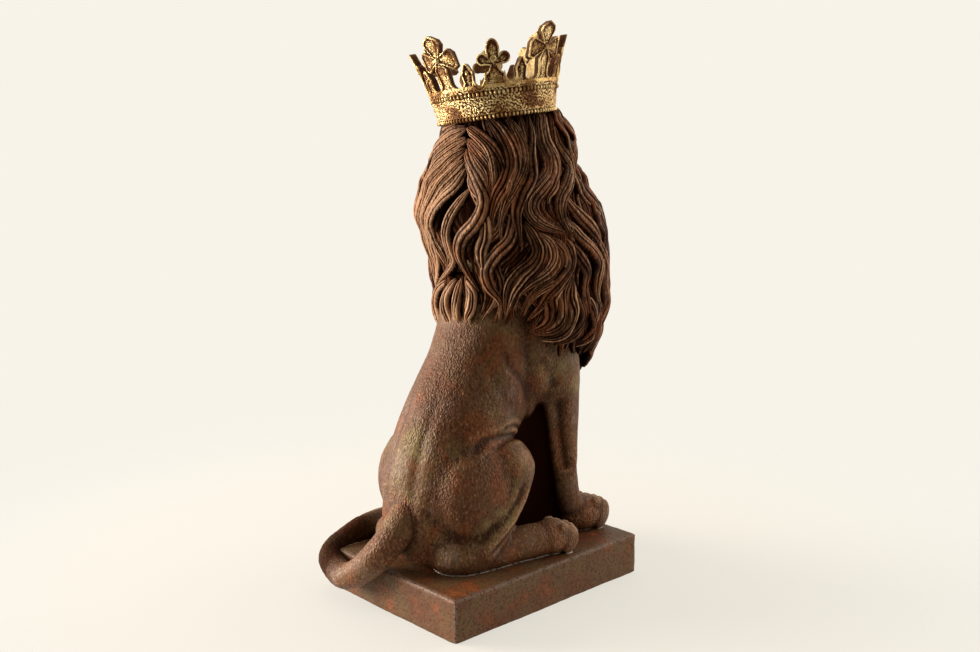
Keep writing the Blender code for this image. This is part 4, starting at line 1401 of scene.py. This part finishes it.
def plinth_paint():
    paint = Paint("rusty_plinth")
    fine = paint.noise(0.0030, detail=5.0, rough=0.65)
    patches = paint.noise(0.050, detail=4.0)
    bloom = paint.plus(paint.noise(0.028, detail=5.0, rough=0.65), paint.times(paint.value("rust"), 0.1))
    color = paint.coats(
        OLIVE,
        (BROWN, patches, 0.42, 0.66, 1.0),
        (RUST, bloom, 0.48, 0.62, 0.6),
        (BRIGHT_RUST, bloom, 0.58, 0.68, 0.6),
        (DEEP_BROWN, fine, 0.54, 0.34, 0.8),
        (LILAC, paint.value("edge"), 0.22, 0.7, paint.step(fine, 0.36, 0.54, 0.0, 0.8)),
        (DARK_WASH_AND_SHADE, paint.value("ridge"), 0.36, 0.05, 0.8),
        (DARK_WASH_AND_SHADE, paint.pits(0.011), 0.10, 0.05, 1.0),
    )
    return paint.finish(color, paint.step(fine, 0.3, 0.7, 0.60, 0.46), paint.bump(fine, 0.0008, 0.5), 0.35)


def seam_paint():
    paint = Paint("pale_seam")
    fine = paint.noise(0.0040)
    color = paint.coats(BROWN, (SEAM_GREY, fine, 0.34, 0.50, 1.0))
    return paint.finish(color, 0.35, paint.bump(fine, 0.0003, 0.5), 0.5)


def gold_paint():
    paint = Paint("worn_gold")
    stipple = paint.noise(0.0015, rough=0.65)
    flakes = paint.pits(0.0024)
    patches = paint.noise(0.018, detail=4.0)
    depth = paint.value("depth")
    color = paint.coats(OLD_GOLD, (GOLD, patches, 0.36, 0.64, 1.0))
    worn = paint.plus(paint.times(paint.value("ridge"), 0.7), paint.times(stipple, 0.6))
    gilt = paint.times(paint.step(worn, 0.59, 0.72), paint.step(patches, 0.34, 0.52, 0.35, 1.0))
    side = paint.step(paint.plus(depth, paint.times(stipple, 0.8)), 1.2, 1.8)
    gilt = paint.times(gilt, paint.step(side, 0.0, 1.0, 1.0, 0.04))
    inside = paint.times(paint.step(patches, 0.40, 0.56, 0.15, 0.75), paint.step(depth, 6.2, 6.9))
    gilt = paint.math("MAXIMUM", gilt, inside)
    gilt = paint.times(gilt, paint.step(paint.value("gap"), 0.15, 0.7, 1.0, 0.0))
    color = paint.mix(gilt, CROWN_BROWN, color)
    normal = paint.bump(paint.plus(stipple, paint.times(flakes, 0.6)), 0.0013, 0.9)
    shine = paint.step(gilt, 0.0, 1.0, 0.15, 0.5)
    return paint.finish(color, paint.step(gilt, 0.0, 1.0, 0.6, 0.30), normal, shine, paint.times(gilt, 0.9))


# The stage, the lights and the camera.

FLOOR_RADIUS = 1.6
FLOOR_FADE = (0.22, 0.80)  # distances from the plinth's middle over which the floor fades away
CARD_DISTANCE = 0.4  # behind the camera
CARD_SIZE = 1.5
# Each softbox's name, its place to the right, ahead and above the camera's target, its size and power.
SOFTBOXES = (
    ("softbox_left", (-2.5, 0.35, 0.45), 1.3, 165),
    ("softbox_right", (1.5, 0.5, 0.6), 0.8, 11),
)
SOFTBOX_COLOR = (1.0, 0.95, 0.87)


def plain_paint(name, looks):
    """A paint whose shader's values are the same all over."""
    paint = Paint(name)
    for socket, value in looks.items():
        paint.link(value, paint.shader[socket])
    return paint


def make_stage():
    """A pale floor that fades into the background, and a dark card behind the camera for reflections."""
    bm = bmesh.new()
    bmesh.ops.create_circle(bm, cap_ends=True, radius=FLOOR_RADIUS, segments=96)
    looks = {"Base Color": FLOOR, "Emission Color": PALE, "Emission Strength": FLOOR_GLOW}
    looks.update({"Roughness": 0.9, "Specular IOR Level": 0.1})
    floor = object_of("floor", bm)
    paint = plain_paint("pale_floor", looks)
    away = paint.nodes.new("ShaderNodeVectorMath")
    away.operation = "LENGTH"
    paint.link(paint.place, away.inputs[0])
    paint.link(paint.step(away.outputs["Value"], *FLOOR_FADE, 1.0, 0.0), paint.shader["Alpha"])
    floor.data.materials.append(paint.material)
    bm = bmesh.new()
    bmesh.ops.create_grid(bm, x_segments=1, y_segments=1, size=CARD_SIZE)
    card = object_of("dark_card", bm)
    card.location = CAMERA_PLACE - FORWARD * CARD_DISTANCE
    card.rotation_euler = FORWARD.to_track_quat("Z", "Y").to_euler()
    card.visible_camera = False
    card.data.materials.append(plain_paint("black_card", {"Base Color": CARD, "Roughness": 1.0}).material)
    world = bpy.data.worlds.new("pale_room")
    bpy.context.scene.world = world
    world.use_nodes = True
    background = world.node_tree.nodes["Background"].inputs
    background["Color"].default_value = (*PALE, 1.0)
    background["Strength"].default_value = 1.0
    bpy.context.scene.view_settings.view_transform = "Standard"


def place_in_scene(name, data, place, direction):
    """An object for a light or a camera, which looks along a direction."""
    obj = in_scene(name, data)
    obj.location = place
    obj.rotation_euler = direction.to_track_quat("-Z", "Y").to_euler()
    return obj


def make_lights_and_camera():
    for name, (aside, ahead, above), size, power in SOFTBOXES:
        light = bpy.data.lights.new(name, "AREA")
        light.shape = "SQUARE"
        light.size = size
        light.energy = power
        light.color = SOFTBOX_COLOR
        place = CAMERA_TARGET + RIGHT * aside + FORWARD * ahead + UP * above
        place_in_scene(name, light, place, CAMERA_TARGET - place).visible_camera = False
    camera = bpy.data.cameras.new("camera")
    camera.lens = CAMERA_LENS
    camera.sensor_width = CAMERA_SENSOR
    bpy.context.scene.camera = place_in_scene("camera", camera, CAMERA_PLACE, FORWARD)


def place_piece(obj, material, slot, *nodes):
    obj.data.materials.clear()
    obj.data.materials.append(material)
    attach(obj, "root")
    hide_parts(*nodes)


make_lights_and_camera()
make_stage()
fur = fur_paint()
mane = mane_paint()
lion_body = make_body()
place_piece(lion_body, fur, "rusty_figure", "lion")
place_piece(make_seam(lion_body), seam_paint(), "rusty_plinth", "plinth")
place_piece(make_head(), fur, "rusty_figure", "lion")
for hair in (make_mane_core(), *make_mane()):
    place_piece(hair, mane, "rusty_figure", "lion")
place_piece(make_plinth(), plinth_paint(), "rusty_plinth", "plinth")
place_piece(make_crown(), gold_paint(), "worn_gold", "crown")
